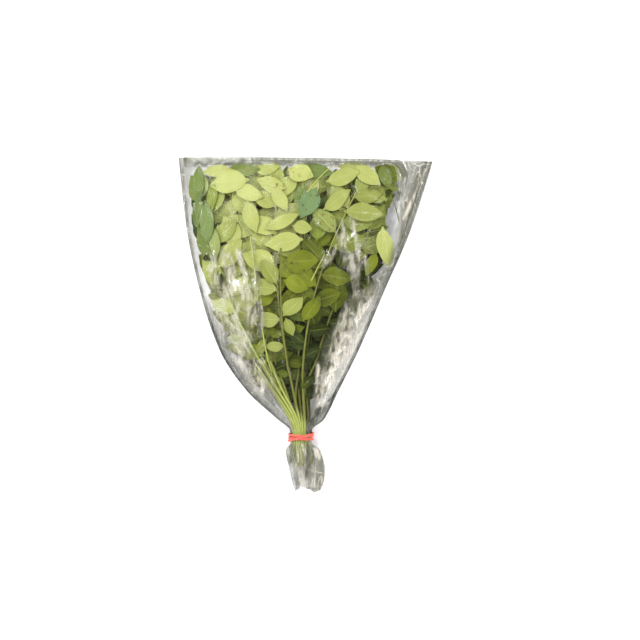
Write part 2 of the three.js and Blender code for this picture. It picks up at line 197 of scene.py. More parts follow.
def paint(red: int, green: int, blue: int) -> Colour:
    """A colour given in the usual 0 to 255 steps, as linear values."""
    return (linear(red), linear(green), linear(blue), 1.0)


# ---- Making and finishing meshes ----


def deselect_all() -> None:
    """Leaves nothing selected."""
    bpy.ops.object.select_all(action="DESELECT")


def select_only(*objects: Item) -> None:
    """Selects these objects and no other, and makes the first one active."""
    deselect_all()
    for item in objects:
        item.select_set(True)
    bpy.context.view_layer.objects.active = objects[0]


def points_of(item: Item) -> Array:
    """The mesh's points, one row each."""
    found = np.empty(len(item.data.vertices) * 3)
    item.data.vertices.foreach_get("co", found)
    return found.reshape(-1, 3)


def move_points(item: Item, points: Array) -> None:
    """Puts the mesh's points at these places."""
    item.data.vertices.foreach_set("co", np.ascontiguousarray(points, dtype=np.float32).ravel())
    item.data.update()


def write_attribute(item: Item, name: str, values: Array | float) -> None:
    """Gives each point of the mesh a number under this name."""
    held = item.data.attributes.new(name=name, type="FLOAT", domain="POINT")
    held.data.foreach_set("value", np.broadcast_to(values, len(item.data.vertices)).astype(np.float32).copy())


def name_mesh(item: Item, name: str) -> Item:
    """Names an object and its mesh alike."""
    item.name = name
    item.data.name = name
    return item


def new_grid(columns: int, rows: int) -> Item:
    """A flat sheet from -1 to 1 each way, facing up."""
    deselect_all()
    bpy.ops.mesh.primitive_grid_add(x_subdivisions=columns, y_subdivisions=rows, size=2.0, location=(0, 0, 0))
    return bpy.context.active_object


def thicken(item: Item, thickness: float, offset: float, back: int = 0) -> None:
    """Gives a sheet its thickness and closes it along its rim.

    Args:
        item: The sheet.
        thickness: Its thickness in the mesh's own unit.
        offset: -1 grows it behind the sheet, 0 to both sides alike.
        back: How many material slots further on the back and the rim are.
    """
    select_only(item)
    wall = item.modifiers.new("wall", "SOLIDIFY")
    wall.thickness = thickness
    wall.offset = offset
    wall.use_rim = True
    wall.material_offset = back
    wall.material_offset_rim = back
    bpy.ops.object.modifier_apply(modifier=wall.name)


def smooth(item: Item, angle: float = 40.0) -> None:
    """Shades a mesh smooth, apart from its edges sharper than the angle in degrees."""
    select_only(item)
    bpy.ops.object.shade_smooth_by_angle(angle=math.radians(angle))


def flip(item: Item) -> None:
    """Turns all the mesh's faces round.

    Args:
        item: The mesh's object.
    """
    select_only(item)
    bpy.ops.object.mode_set(mode="EDIT")
    bpy.ops.mesh.select_all(action="SELECT")
    bpy.ops.mesh.flip_normals()
    bpy.ops.object.mode_set(mode="OBJECT")


def clean(item: Item, distance: float = 1e-6) -> None:
    """Merges doubled points and turns the faces outwards.

    Args:
        item: The mesh's object.
        distance: How close two points are to be merged, in metres.
    """
    select_only(item)
    bpy.ops.object.mode_set(mode="EDIT")
    bpy.ops.mesh.select_all(action="SELECT")
    bpy.ops.mesh.remove_doubles(threshold=distance)
    bpy.ops.mesh.normals_make_consistent(inside=False)
    bpy.ops.object.mode_set(mode="OBJECT")


def join(items: list[Item], name: str) -> Item:
    """Makes one named piece of several meshes."""
    select_only(*items)
    if len(items) > 1:
        bpy.ops.object.join()
    return name_mesh(items[0], name)


def settle(piece: Item, slot: str, *nodes: str) -> Item:
    """Puts a finished piece in the frame.

    Args:
        piece: The piece, with its place in its mesh.
        slot: Not used.
        *nodes: The solids that it stands for.

    Returns:
        The piece.
    """
    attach(piece, BODY)
    if nodes:
        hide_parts(*nodes)
    LOG.info("%s: %d faces", piece.name, len(piece.data.polygons))
    return piece


# ---- The sleeve's form ----


@dataclass
class Ring:
    """The sleeve's cross section at each of several places along y."""

    middle: Array
    half: Array
    bed: Array
    fold: Array
    top: Array
    gather: Array
    spread: Array


@dataclass(frozen=True)
class SleeveForm:
    """The form of the filled sleeve, as the part's source gives it, in millimetres.

    Each row of `rings` is y, left fold, right fold, lower sheet, folds, upper sheet and gathers.
    """

    rings: tuple[tuple[float, ...], ...] = (
        (-168, -10, 16.5, 2.4, 6.5, 13, 1.5),
        (-146, -15.5, 18.8, 1.8, 9.4, 18.6, 1.2),
        (-125, -19, 14, 1.6, 10.6, 20.4, 0.9),
        (-118.5, -15.4, 6.2, 3, 11.3, 19.6, 0.6),
        (-105.5, -15.4, 6.2, 3, 11.3, 19.6, 0.6),
        (-95, -27, 17.5, 2.4, 11.8, 22, 1.1),
        (-66, -58.5, 32.5, 0, 12.5, 29, 1.4),
        (-26, -85.5, 52.5, 0, 14, 38, 1.1),
        (34, -105.5, 78.5, 0, 15, 43, 0.8),
        (94, -118.5, 104.5, 0, 14, 40, 0.5),
        (166, -127.5, 127.5, 0, 10, 28, 0),
    )
    tail_y: float = -168.0
    mouth_y: float = 166.0
    mouth_half_width: float = 127.5
    mouth_slant: float = 2.0
    mouth_slant_from: float = 90.0
    tail_rag: float = 6.0
    tail_rag_length: float = 14.0
    tail_notches: int = 3
    gathers: tuple[Triple, ...] = ((0.62, 11, 0.5), (0.38, 7, 2.1))
    wall: float = 0.8
    spread_from: float = -105.0
    spread_to: float = -45.0
    lens: float = 0.22
    lie_flat: float = 0.3
    fold_wall: float = 0.6

    def value(self, column: int, y: Array) -> Array:
        """One column of the rings at any y, by a cubic through them that never overshoots.

        Args:
            column: The column of `rings`.
            y: Places along the sleeve.

        Returns:
            The value at each place.
        """
        rows = np.array(self.rings)
        at, held = rows[:, 0], rows[:, column]
        change = np.diff(held) / np.diff(at)
        before = np.concatenate([change[:1], change])
        after = np.concatenate([change, change[-1:]])
        product = before * after
        slope = np.where(product > 0, 2 * product / np.where(product > 0, before + after, 1.0), 0.0)
        k = np.clip(np.searchsorted(at, y, side="left") - 1, 0, len(at) - 2)
        span = at[k + 1] - at[k]
        t = (y - at[k]) / span
        u = 1 - t
        ends = held[k] * (1 + 2 * t) * u * u + held[k + 1] * (1 + 2 * u) * t * t
        return ends + span * t * u * (u * slope[k] - t * slope[k + 1])

    def ring(self, y: Array | float) -> Ring:
        """All the values of the rings at y."""
        y = np.asarray(y, dtype=float)
        left, right, bed, fold, top, gather = (self.value(column, y) for column in range(1, 7))
        spread = smoothstep(y, self.spread_from, self.spread_to)
        return Ring((left + right) / 2, (right - left) / 2, bed, fold, top, gather, spread)

    def gather_wave(self, angle: Array) -> Array:
        """The gathers round the sleeve, as a share of their depth."""
        return sum(share * np.cos(count * angle + turn) for share, count, turn in self.gathers)

    def slant(self, x: Array, y: Array) -> Array:
        """How far the mouth's slant moves a point along y."""
        near = smoothstep(y, self.mouth_slant_from, self.mouth_y)
        return -self.mouth_slant * x * near / self.mouth_half_width

    def rag(self, angle: Array, y: Array) -> Array:
        """How far the tail's notches move a point along y."""
        notch = self.tail_rag / 2 * (1 - np.cos(self.tail_notches * (angle - math.pi)))
        return notch * (1 - smoothstep(y, self.tail_y, self.tail_y + self.tail_rag_length))


# ---- The fronds' form ----


@dataclass(frozen=True)
class Frond:
    """One frond: its bearing from the neck, its layer, its sideways bow, its tip and its fork."""

    bearing: float
    layer: float
    bow: float
    tip: float
    fork: float | None = None


@dataclass(frozen=True)
class Sprig:
    """One sprig: its place among the stalks in the neck, and its fronds.

    `slim` is its stalk's radius over the usual one, `crowd` how far its leaflets reach over their room,
    `bare` how long its stalk is below them, and `trim` how much shorter it is cut than the others.
    """

    name: str
    column: float
    row: float
    slot: str
    fronds: tuple[Frond, ...]
    slim: float = 1.0
    crowd: float = 1.0
    bare: float = 50.0
    trim: float = 0.0


@dataclass(frozen=True)
class Leaflet:
    """One leaflet: its root on the rib, its heading, its length and its number on the frond."""

    root: Array
    heading: float
    length: float
    number: int


def table(kind: type, *rows: tuple) -> tuple:
    """One object of the kind from each row of its values."""
    return tuple(kind(*row) for row in rows)


def sprigs(kind: str, *rows: tuple) -> tuple[Sprig, ...]:
    """Sprigs numbered from 1, one from each row of its values."""
    return table(Sprig, *((f"{kind}_{number}", *row) for number, row in enumerate(rows, start=1)))


SPRIGS = sprigs(
    "sprig",
    (-1, -1, LEAF_DEEP, (Frond(-21.5, 0, -18, 153), Frond(-12, 1, -12, 162, 16))),
    (0, -1, LEAF_DEEP, (Frond(-3, 0, -4, 160), Frond(3, 1, -6, 157, 20))),
    (1, -1, LEAF_DEEP, (Frond(11, 0, -8, 156), Frond(19, 1, -14, 158, 14))),
    (-1, 0, LEAF_DEEP, (Frond(-16.5, 2, -27, 161),)),
    (0, 0, LEAF_DEEP, (Frond(-5.5, 2, 1, 152),)),
    (1, 0, LEAF_DEEP, (Frond(10.8, 2, -8, 161),)),
    (-1, 1, LEAF_PALE, (Frond(-20.7, 4, -22.5, 157), Frond(-9.5, 3, -16, 162, 18))),
    (0, 1, LEAF_PALE, (Frond(-4.5, 4, -12, 163), Frond(3, 3, -8, 155, 15))),
    (1, 1, LEAF_PALE, (Frond(15.6, 4, -23.5, 162), Frond(22.8, 3, -18.5, 124, 22))),
)

# Slimmer sprigs between the nine that fill the bunch out.
INFILL = sprigs(
    "infill",
    (-1.95, 0.55, LEAF_DEEP, (Frond(-18.5, 2.6, -16, 150),), 0.74, 1.5, 50, 7),
    (-1.95, -0.55, LEAF_DEEP, (Frond(-14.5, 1.5, -22, 160),), 0.74, 1.5, 34, 3),
    (-0.5, 0.5, LEAF_DEEP, (Frond(-8, 2.6, -5, 158),), 0.6, 2.2, 26, 0),
    (-0.5, -0.5, LEAF_DEEP, (Frond(-1, 1.5, 4, 161),), 0.6, 2.2, 24, 5),
    (0.5, 0.5, LEAF_DEEP, (Frond(6, 2.6, -14, 160),), 0.6, 2.2, 28, 9),
    (0.5, -0.5, LEAF_DEEP, (Frond(8, 0.6, 0, 157),), 0.6, 2.2, 24, 2),
    (1.95, 0.55, LEAF_DEEP, (Frond(14.5, 2.6, -18, 161),), 0.74, 1.5, 50, 6),
    (1.95, -0.55, LEAF_DEEP, (Frond(21, 1.6, -22, 138),), 0.74, 1.5, 50, 1),
    (-1.95, 0.0, LEAF_DEEP, (Frond(-22.5, 1.4, -14, 136),), 0.7, 1.5, 44, 8),
    (-0.5, 1.45, LEAF_DEEP, (Frond(-13.5, 3.3, -14, 60),), 0.62, 1.5, 60, 4),
    (-1.45, 1.45, LEAF_DEEP, (Frond(-24, 3.3, -10, 40),), 0.62, 1.4, 52, 11),
    (0.5, 1.45, LEAF_DEEP, (Frond(-1.5, 2.4, -5, 40),), 0.62, 1.8, 30, 3),
    (-1.75, 0.95, LEAF_PALE, (Frond(-30, 3.0, -6, 4),), 0.66, 1.5, 50, 12),
    (-0.95, 1.5, LEAF_PALE, (Frond(-19, 3.6, -10, 20),), 0.66, 1.4, 52, 6),
    (-1.75, -0.95, LEAF_PALE, (Frond(-25, 2.2, -8, 8),), 0.66, 1.6, 48, 9),
    (-1.1, -1.5, LEAF_DEEP, (Frond(-15, 2.2, -8, 12),), 0.6, 1.8, 46, 2),
)


@dataclass(frozen=True)
class FrondForm:
    """How the fronds lie in the sleeve, as the part's source gives it, in millimetres."""

    sleeve: SleeveForm
    cut_y: float = -141.0
    fan_y: float = -102.6
    neck_x: float = -4.5
    neck_z: float = 11.3
    slot_x: float = 3.7
    slot_z: float = 3.65
    tail_splay: float = 0.5
    tail_drop: float = 1.5
    layers: int = 5
    clearance: float = 0.5
    fan_length: float = 275.0
    fan_x_length: float = 62.0
    fan_z_length: float = 80.0
    fork_length: float = 48.0
    stalk_radius: float = 1.62
    rib_radius: float = 1.15
    rib_tip_radius: float = 0.55
    leafy_from: float = 50.0
    pitch: float = 14.0
    pitch_stray: float = 0.25
    lean_at_foot: float = 74.0
    lean_at_tip: float = 46.0
    lean_stray: float = 13.0
    lean_least: float = 14.0
    lean_turn: float = 4.0
    leaflet_length: float = 35.0
    length_at_foot: float = 0.58
    length_at_tip: float = 0.84
    length_stray: float = 0.12
    crossing: float = 2.0
    least: float = 12.0
    terminal_length: float = 30.0
    blade: float = 0.62
    roll: float = 0.72
    spacing_angle: float = 12.5
    seam_limit: float = 0.95
    mouth_limit: float = 163.0
    reach_limit: float = 0.98
    ease: float = 0.93
    slack_room: float = 24.0
    slack_least: float = 0.2
    grown_by: float = 0.4
    shrinks_from: float = 0.6

    def room(self, x: Array, y: Array) -> tuple[Array, Array, Array]:
        """How far a place is from the middle to the room's side, and the lowest and highest for a blade.

        Args:
            x: Places across.
            y: Places along.

        Returns:
            The share of the way to the side, the lowest and the highest at each place.
        """
        ring = self.sleeve.ring(y)
        clear = self.sleeve.wall + self.clearance + ring.gather
        reach = (x - ring.middle) / (ring.half - clear * (1 + self.sleeve.fold_wall * ring.spread))
        up = np.sqrt(1 - np.minimum(np.abs(reach), self.reach_limit) ** 2)
        ceiling = ring.top - clear - self.blade / 2 - ring.fold
        floor = ring.fold - ring.bed - self.sleeve.wall - self.clearance - self.blade / 2
        low = ring.fold - floor * np.minimum(1, up * (1 + self.sleeve.lie_flat * ring.spread))
        high = ring.fold + ceiling * up ** (1 + self.sleeve.lens * ring.spread)
        return reach, low, high

    def lie_height(self, sprig: Sprig, frond: Frond, x: Array, y: Array, lift: Array | float) -> Array:
        """The height at which a frond lies at a place.

        Args:
            sprig: The sprig, for its stalk's place in the neck.
            frond: The frond, for its layer.
            x: Places across.
            y: Places along.
            lift: From -1 at the layer's foot to 1 at its top.

        Returns:
            The height of each place.
        """
        _, low, high = self.room(x, y)
        in_neck = self.neck_z + self.slot_z * sprig.row
        in_layer = lerp(low, high, self.ease * (frond.layer + 0.5 + 0.5 * lift) / self.layers)
        return lerp(in_neck, in_layer, smoothstep(y - self.fan_y, 0, self.fan_z_length))

    def slack(self, x: Array, y: Array) -> Array:
        """How far a blade may bend at a place: all it would in the middle, less where the sheets meet."""
        _, low, high = self.room(x, y)
        return np.clip((high - low) / self.slack_room, self.slack_least, 1.0)

    def loose_height(self, layer: float, x: Array, y: Array) -> Array:
        """The height of a place on a leaflet or stem that lies loose in a layer."""
        _, low, high = self.room(x, y)
        return lerp(low, high, self.ease * (layer + 0.5) / self.layers)

    def ray(self, sprig: Sprig, frond: Frond, y: Array) -> Array:
        """A frond's line on its own: a ray out of its stalk's place in the neck, bowed sideways.

        Args:
            sprig: The sprig.
            frond: The frond.
            y: Places along.

        Returns:
            The point at each place.
        """
        y = np.asarray(y, dtype=float)
        reach = y - self.fan_y
        slot = self.slot_x * sprig.column
        to_cut = np.clip(reach / (self.cut_y - self.fan_y), 0, None)
        fan = np.clip(reach, 0, None)
        bowed = frond.bow * np.sin(np.pi * fan / self.fan_length)
        swing = math.tan(math.radians(frond.bearing)) * fan + bowed
        fan_x = self.neck_x + slot * (1 - smoothstep(fan, 0, self.fan_x_length)) + swing
        x = np.where(reach > 0, fan_x, self.neck_x + slot * (1 + self.tail_splay * to_cut))
        tail_z = self.neck_z + self.slot_z * sprig.row - self.tail_drop * to_cut
        z = np.where(reach > 0, self.lie_height(sprig, frond, x, np.maximum(y, self.fan_y), 0.0), tail_z)
        return np.stack([x, y, z], axis=-1)

    def rib(self, sprig: Sprig, frond: Frond, y: Array) -> Array:
        """A frond's rib. A second frond keeps to the first one's line until its fork.

        Args:
            sprig: The sprig.
            frond: The frond.
            y: Places along.

        Returns:
            The point at each place.
        """
        own = self.ray(sprig, frond, y)
        if frond.fork is None:
            return own
        y = np.asarray(y, dtype=float)
        parting = smoothstep(y - self.fan_y, frond.fork, frond.fork + self.fork_length)
        return lerp(self.ray(sprig, sprig.fronds[0], y), own, parting[..., None])

    def radius(self, sprig: Sprig, frond: Frond, y: Array, end: float) -> Array:
        """The rib's radius at y.

        Args:
            sprig: The sprig.
            frond: The frond.
            y: Places along.
            end: Where the rib ends.

        Returns:
            The radius at each place.
        """
        base = self.stalk_radius * sprig.slim if frond.fork is None else self.rib_radius
        leafy = self.fan_y + self.leafy_from
        low = lerp(base, self.rib_radius, smoothstep(y, self.fan_y, leafy))
        high = lerp(self.rib_radius, self.rib_tip_radius, (y - leafy) / (end - leafy))
        return np.where(y < leafy, low, high)

    def frond_spacing(self, y: Array | float) -> Array | float:
        """How far apart the fronds of one layer stand at y."""
        return math.tan(math.radians(self.spacing_angle)) * (y - self.fan_y)

    def blade_height(self, sprig: Sprig, frond: Frond, x: Array, y: Array) -> Array:
        """The height of a blade at a place beside its frond's rib, with the frond rolled about it."""
        aside = np.clip((self.rib(sprig, frond, y)[..., 0] - x) / self.frond_spacing(y), -1, 1)
        return self.lie_height(sprig, frond, x, y, self.roll * aside)

    def fits(self, root: Array, heading: float, length: float) -> bool:
        """Whether a blade's tip stays inside the sleeve's side folds and mouth."""
        x = root[0] + math.sin(heading) * length
        y = root[1] + math.cos(heading) * length
        return y < self.mouth_limit and abs(float(self.room(x, y)[0])) < self.seam_limit

    def leaflets(self, sprig: Sprig, frond: Frond, number: int) -> list[Leaflet]:
        """The leaflets of a frond, alternately to its left and right, and the one at its tip.

        Args:
            sprig: The sprig.
            frond: The frond.
            number: The frond's own number, which picks its strays.

        Returns:
            The leaflets from the frond's foot to its tip.
        """
        leafy = self.fan_y + sprig.bare
        if frond.fork is not None:
            leafy = max(leafy, self.fan_y + frond.fork + self.fork_length)
        end = frond.tip - self.terminal_length
        first = leafy + self.pitch * (1 + wobble(number, Stray.FROND_START)) / 2
        count = math.floor((end - leafy) / self.pitch)
        found = []
        for i in range(count + 1):
            share = i / count
            y = lerp(first, end, (i + self.pitch_stray * wobble(number, i)) / (count + self.pitch_stray))
            root, ahead = self.rib(sprig, frond, y), self.rib(sprig, frond, y + 1)
            side = 1 if (i + number) % 2 == 0 else -1
            lean = lerp(self.lean_at_foot, self.lean_at_tip, share**2)
            lean += self.lean_stray * wobble(number, Stray.FROND_LEAN + i)
            course = math.atan2(ahead[0] - root[0], ahead[1] - root[1])
            heading = course + side * math.radians(lean)
            grown = lerp(self.length_at_foot, 1, smoothstep(share, 0, self.grown_by))
            grown *= lerp(1, self.length_at_tip, smoothstep(share, self.shrinks_from, 1))
            grown *= 1 + self.length_stray * wobble(number, Stray.FROND_LENGTH + i)
            length = min(self.frond_spacing(y) * sprig.crowd + self.crossing, self.leaflet_length * grown)
            while lean > self.lean_least and not self.fits(root, heading, length):
                lean -= self.lean_turn
                heading = course + side * math.radians(lean)
            while length >= self.least and not self.fits(root, heading, length):
                length -= 1
            if length >= self.least:
                found.append(Leaflet(root, heading, length, i))
        root, tip = self.rib(sprig, frond, end), self.rib(sprig, frond, frond.tip)
        heading = math.atan2(tip[0] - root[0], tip[1] - root[1])
        found.append(Leaflet(root, heading, self.terminal_length, count + 1))
        return found


# ---- Finishes ----


def feed(node: Node, inputs: dict) -> Node:
    """Gives inputs of a node their sockets or values.

    Args:
        node: The node.
        inputs: What each input is given: a socket, which is linked, or a value.

    Returns:
        The node.
    """
    for key, value in inputs.items():
        if isinstance(value, Socket):
            node.id_data.links.new(value, node.inputs[key])
        else:
            node.inputs[key].default_value = value
    return node


def add_node(tree: Tree, kind: str, inputs: dict | None = None, **settings: object) -> Node:
    """Adds a node.

    Args:
        tree: The node tree.
        kind: The node's type.
        inputs: What each input is given.
        **settings: The node's own settings.

    Returns:
        The node.
    """
    node = tree.nodes.new(kind)
    for key, value in settings.items():
        setattr(node, key, value)
    return feed(node, inputs or {})


def calc(operation: str, *values: Value) -> Socket:
    """The result of a Math node on values of which at least one is a socket."""
    tree = next(value.id_data for value in values if isinstance(value, Socket))
    return add_node(tree, "ShaderNodeMath", dict(enumerate(values)), operation=operation).outputs[0]


def times(first: Value, second: Value) -> Socket:
    """One value multiplied by another."""
    return calc("MULTIPLY", first, second)


def plus(first: Value, second: Value) -> Socket:
    """One value added to another."""
    return calc("ADD", first, second)


def less(first: Value, second: Value) -> Socket:
    """One value with another taken from it."""
    return calc("SUBTRACT", first, second)


def limit(value: Socket, span: Span = WHOLE) -> Socket:
    """A value kept inside a span."""
    inputs = {"Value": value, "Min": span[0], "Max": span[1]}
    return add_node(value.id_data, "ShaderNodeClamp", inputs).outputs[0]


def ramp(value: Socket, source: Span, target: Span = WHOLE) -> Socket:
    """A smooth climb over the target span as value goes over the source span."""
    inputs = {"Value": value, "From Min": source[0], "From Max": source[1]}
    node = add_node(value.id_data, "ShaderNodeMapRange", inputs, interpolation_type="SMOOTHSTEP")
    return feed(node, {"To Min": target[0], "To Max": target[1]}).outputs[0]


def mix(share: Socket, first: Socket | Colour, second: Socket | Colour) -> Socket:
    """A colour between two, by share."""
    inputs = {0: share, 6: first, 7: second}
    return add_node(share.id_data, "ShaderNodeMix", inputs, data_type="RGBA").outputs[2]


def read(tree: Tree, name: str) -> Socket:
    """A number that the piece's points carry."""
    return add_node(tree, "ShaderNodeAttribute", attribute_name=name).outputs["Fac"]


def place_on(tree: Tree, kind: str = "Object") -> Socket:
    """The place of a point on its own piece, or on its UV map."""
    return add_node(tree, "ShaderNodeTexCoord").outputs[kind]


def stretched(vector: Socket, scale: Triple) -> Socket:
    """Places scaled by axis, so that a pattern on them is drawn out along the small ones."""
    return add_node(vector.id_data, "ShaderNodeMapping", {"Vector": vector, "Scale": scale}).outputs[0]


def noise(vector: Socket, scale: Value, detail: float) -> Outputs:
    """A noise texture's outputs."""
    inputs = {"Vector": vector, "Scale": scale, "Detail": detail}
    return add_node(vector.id_data, "ShaderNodeTexNoise", inputs).outputs


def bumped(height: Socket, strength: float, distance: float) -> Socket:
    """The normal of a surface with this height."""
    inputs = {"Strength": strength, "Distance": distance, "Height": height}
    return add_node(height.id_data, "ShaderNodeBump", inputs).outputs[0]


def new_group(name: str, inputs: Names, outputs: Names) -> tuple[Tree, Outputs, Node]:
    """A node group with named sockets: vectors where VECTOR_INPUTS says so, and otherwise numbers.

    Args:
        name: The group's name.
        inputs: Its inputs.
        outputs: Its outputs.

    Returns:
        The group, the sockets that its inputs come from, and its output node.
    """
    group = bpy.data.node_groups.new(name, "ShaderNodeTree")
    for key in inputs:
        kind = "NodeSocketVector" if key in VECTOR_INPUTS else "NodeSocketFloat"
        group.interface.new_socket(key, in_out="INPUT", socket_type=kind)
    for key in outputs:
        group.interface.new_socket(key, in_out="OUTPUT", socket_type="NodeSocketFloat")
    return group, group.nodes.new("NodeGroupInput").outputs, group.nodes.new("NodeGroupOutput")


@dataclass(frozen=True)
class MottleGroup:
    """Soft patches of two sizes, from 0 to 1, for uneven colour and gloss."""

    middle: float = 0.5
    broad_detail: float = 3.0
    fine_detail: float = 2.0
    fine_pace: float = 9.0

    def build(self) -> Tree:
        """Builds the node group.

        Returns:
            The group.
        """
        group, into, out = new_group("mottle", ("Vector", "Scale", "Contrast"), ("Value", "Grain"))
        vector, scale = into["Vector"], into["Scale"]
        broad = noise(vector, scale, self.broad_detail)
        fine = noise(vector, times(scale, self.fine_pace), self.fine_detail)
        spread = times(less(broad["Fac"], self.middle), into["Contrast"])
        value = limit(plus(spread, self.middle))
        feed(out, {"Value": value, "Grain": fine["Fac"]})
        return group


@dataclass(frozen=True)
class VeinGroup:
    """A leaflet's midrib and its side veins, read from its own UV map."""

    midrib_edge: Span = (0.13, 0.02)
    vein_edge: Span = (0.13, 0.0)
    fades: Span = (1.0, 0.55)
    swells: Span = (0.0, 0.5)
    alternate: float = 0.22
    sweep: float = 0.8
    swell: float = 0.6
    groove: float = 0.8

    def build(self) -> Tree:
        """Builds the node group.

        Returns:
            The group.
        """
        group, into, out = new_group("leaf_veins", ("UV", "Count", "Slant"), ("Midrib", "Veins", "Height"))
        across, along, _ = add_node(group, "ShaderNodeSeparateXYZ", {0: into["UV"]}).outputs
        centred = less(across, 0.5)
        aside = times(calc("ABSOLUTE", centred), 2.0)
        midrib = ramp(aside, self.midrib_edge)
        shift = times(calc("SIGN", centred), self.alternate)
        sweep = times(calc("POWER", aside, self.sweep), into["Slant"])
        run = times(less(along, sweep), into["Count"])
        wave = calc("PINGPONG", plus(run, shift), 0.5)
        veins = times(ramp(wave, self.vein_edge), ramp(aside, self.fades))
        quilt = times(ramp(wave, self.swells), self.swell)
        height = less(quilt, times(midrib, self.groove))
        feed(out, {"Midrib": midrib, "Veins": veins, "Height": height})
        return group


@dataclass(frozen=True)
class CrinkleGroup:
    """Thin lines between bent cells, as left in film that was crumpled and drawn flat again."""

    detail: float = 2.0
    broken: Span = (0.42, 0.6)
    rises: Span = (0.0, 0.4)

    def build(self) -> Tree:
        """Builds the node group.

        Returns:
            The group.
        """
        group, into, out = new_group("crinkles", ("Vector", "Scale", "Width", "Bend"), ("Lines", "Height"))
        vector, scale = into["Vector"], into["Scale"]
        stray = noise(vector, scale, self.detail)
        shift = {0: stray["Color"], "Scale": into["Bend"]}
        shift = add_node(group, "ShaderNodeVectorMath", shift, operation="SCALE").outputs[0]
        bent = add_node(group, "ShaderNodeVectorMath", {0: vector, 1: shift}, operation="ADD").outputs[0]
        cells = {"Vector": bent, "Scale": scale}
        far = add_node(group, "ShaderNodeTexVoronoi", cells, feature="DISTANCE_TO_EDGE").outputs["Distance"]
        line = ramp(calc("DIVIDE", far, into["Width"]), (1.0, 0.0))
        lines = times(line, ramp(stray["Fac"], self.broken))
        feed(out, {"Lines": lines, "Height": ramp(far, self.rises)})
        return group


class Groups:
    """The node groups that several materials share."""

    def __init__(self) -> None:
        """Builds each group once."""
        self.mottle_group = MottleGroup().build()
        self.vein_group = VeinGroup().build()
        self.crinkle_group = CrinkleGroup().build()

    def mottle(self, vector: Socket, size: Span) -> Outputs:
        """Places the mottle in a material, by its scale and its contrast."""
        inputs = {"Vector": vector, "Scale": size[0], "Contrast": size[1]}
        return add_node(vector.id_data, "ShaderNodeGroup", inputs, node_tree=self.mottle_group).outputs

    def veins(self, uv: Socket, count: float, slant: float) -> Outputs:
        """Places the veins in a material, by their number and their slant."""
        inputs = {"UV": uv, "Count": count, "Slant": slant}
        return add_node(uv.id_data, "ShaderNodeGroup", inputs, node_tree=self.vein_group).outputs

    def crinkles(self, vector: Socket, size: Triple) -> Outputs:
        """Places the crinkles in a material, by their scale, the width of their lines and their bend."""
        inputs = {"Vector": vector, "Scale": size[0], "Width": size[1], "Bend": size[2]}
        return add_node(vector.id_data, "ShaderNodeGroup", inputs, node_tree=self.crinkle_group).outputs


class Finish:
    """What the finishes share. A size among their fields is a pattern's scale and contrast."""

    name: str

    def inputs(self, tree: Tree, groups: Groups) -> dict[str, object]:
        """What the finish gives to its shader.

        Args:
            tree: The material's node tree.
            groups: The shared node groups.

        Returns:
            A socket or a value for each input of the shader.
        """
        raise NotImplementedError

    def build(self, groups: Groups) -> Material:
        """Makes the material.

        Args:
            groups: The shared node groups.

        Returns:
            The material.
        """
        material = bpy.data.materials.new(self.name)
        material.use_nodes = True
        tree = material.node_tree
        feed(tree.nodes["Principled BSDF"], self.inputs(tree, groups))
        return material


@dataclass(frozen=True)
class LeafFinish(Finish):
    """One side of a leaflet: its colours from young to old, its veins, its spots and its gloss."""

    name: str
    young: Colour
    old: Colour
    blue: Colour
    vein: Colour
    midrib: Colour
    blemish: Colour
    vein_share: float
    midrib_share: float
    roughness: Span
    relief: float
    specular: float = 0.07
    vein_count: float = 8.0
    vein_slant: float = 0.36
    patch_size: Span = (45.0, 1.6)
    patch_depth: float = 0.4
    patches: Span = (0.2, 0.8)
    spot_size: Span = (260.0, 3.0)
    spots: Span = (0.8, 0.98)
    grain: float = 0.25
    depth: float = 0.0006

    def inputs(self, tree: Tree, groups: Groups) -> dict[str, object]:
        """Gives its shader's inputs."""
        place = place_on(tree)
        veins = groups.veins(place_on(tree, "UV"), self.vein_count, self.vein_slant)
        patches = groups.mottle(place, self.patch_size)
        spots = groups.mottle(place, self.spot_size)
        stray = times(less(patches["Value"], 0.5), self.patch_depth)
        # The tone attribute carries painted shade as well as age.
        base = mix(limit(plus(read(tree, "tone"), stray)), self.young, self.old)
        base = mix(read(tree, "cool"), base, self.blue)
        base = mix(times(veins["Veins"], self.vein_share), base, self.vein)
        base = mix(times(veins["Midrib"], self.midrib_share), base, self.midrib)
        worn = times(ramp(spots["Value"], self.spots), read(tree, "worn"))
        height = plus(veins["Height"], times(patches["Grain"], self.grain))
        return {
            "Base Color": mix(worn, base, self.blemish),
            "Roughness": ramp(patches["Value"], self.patches, self.roughness),
            "Specular IOR Level": self.specular,
            "Normal": bumped(height, self.relief, self.depth),
        }


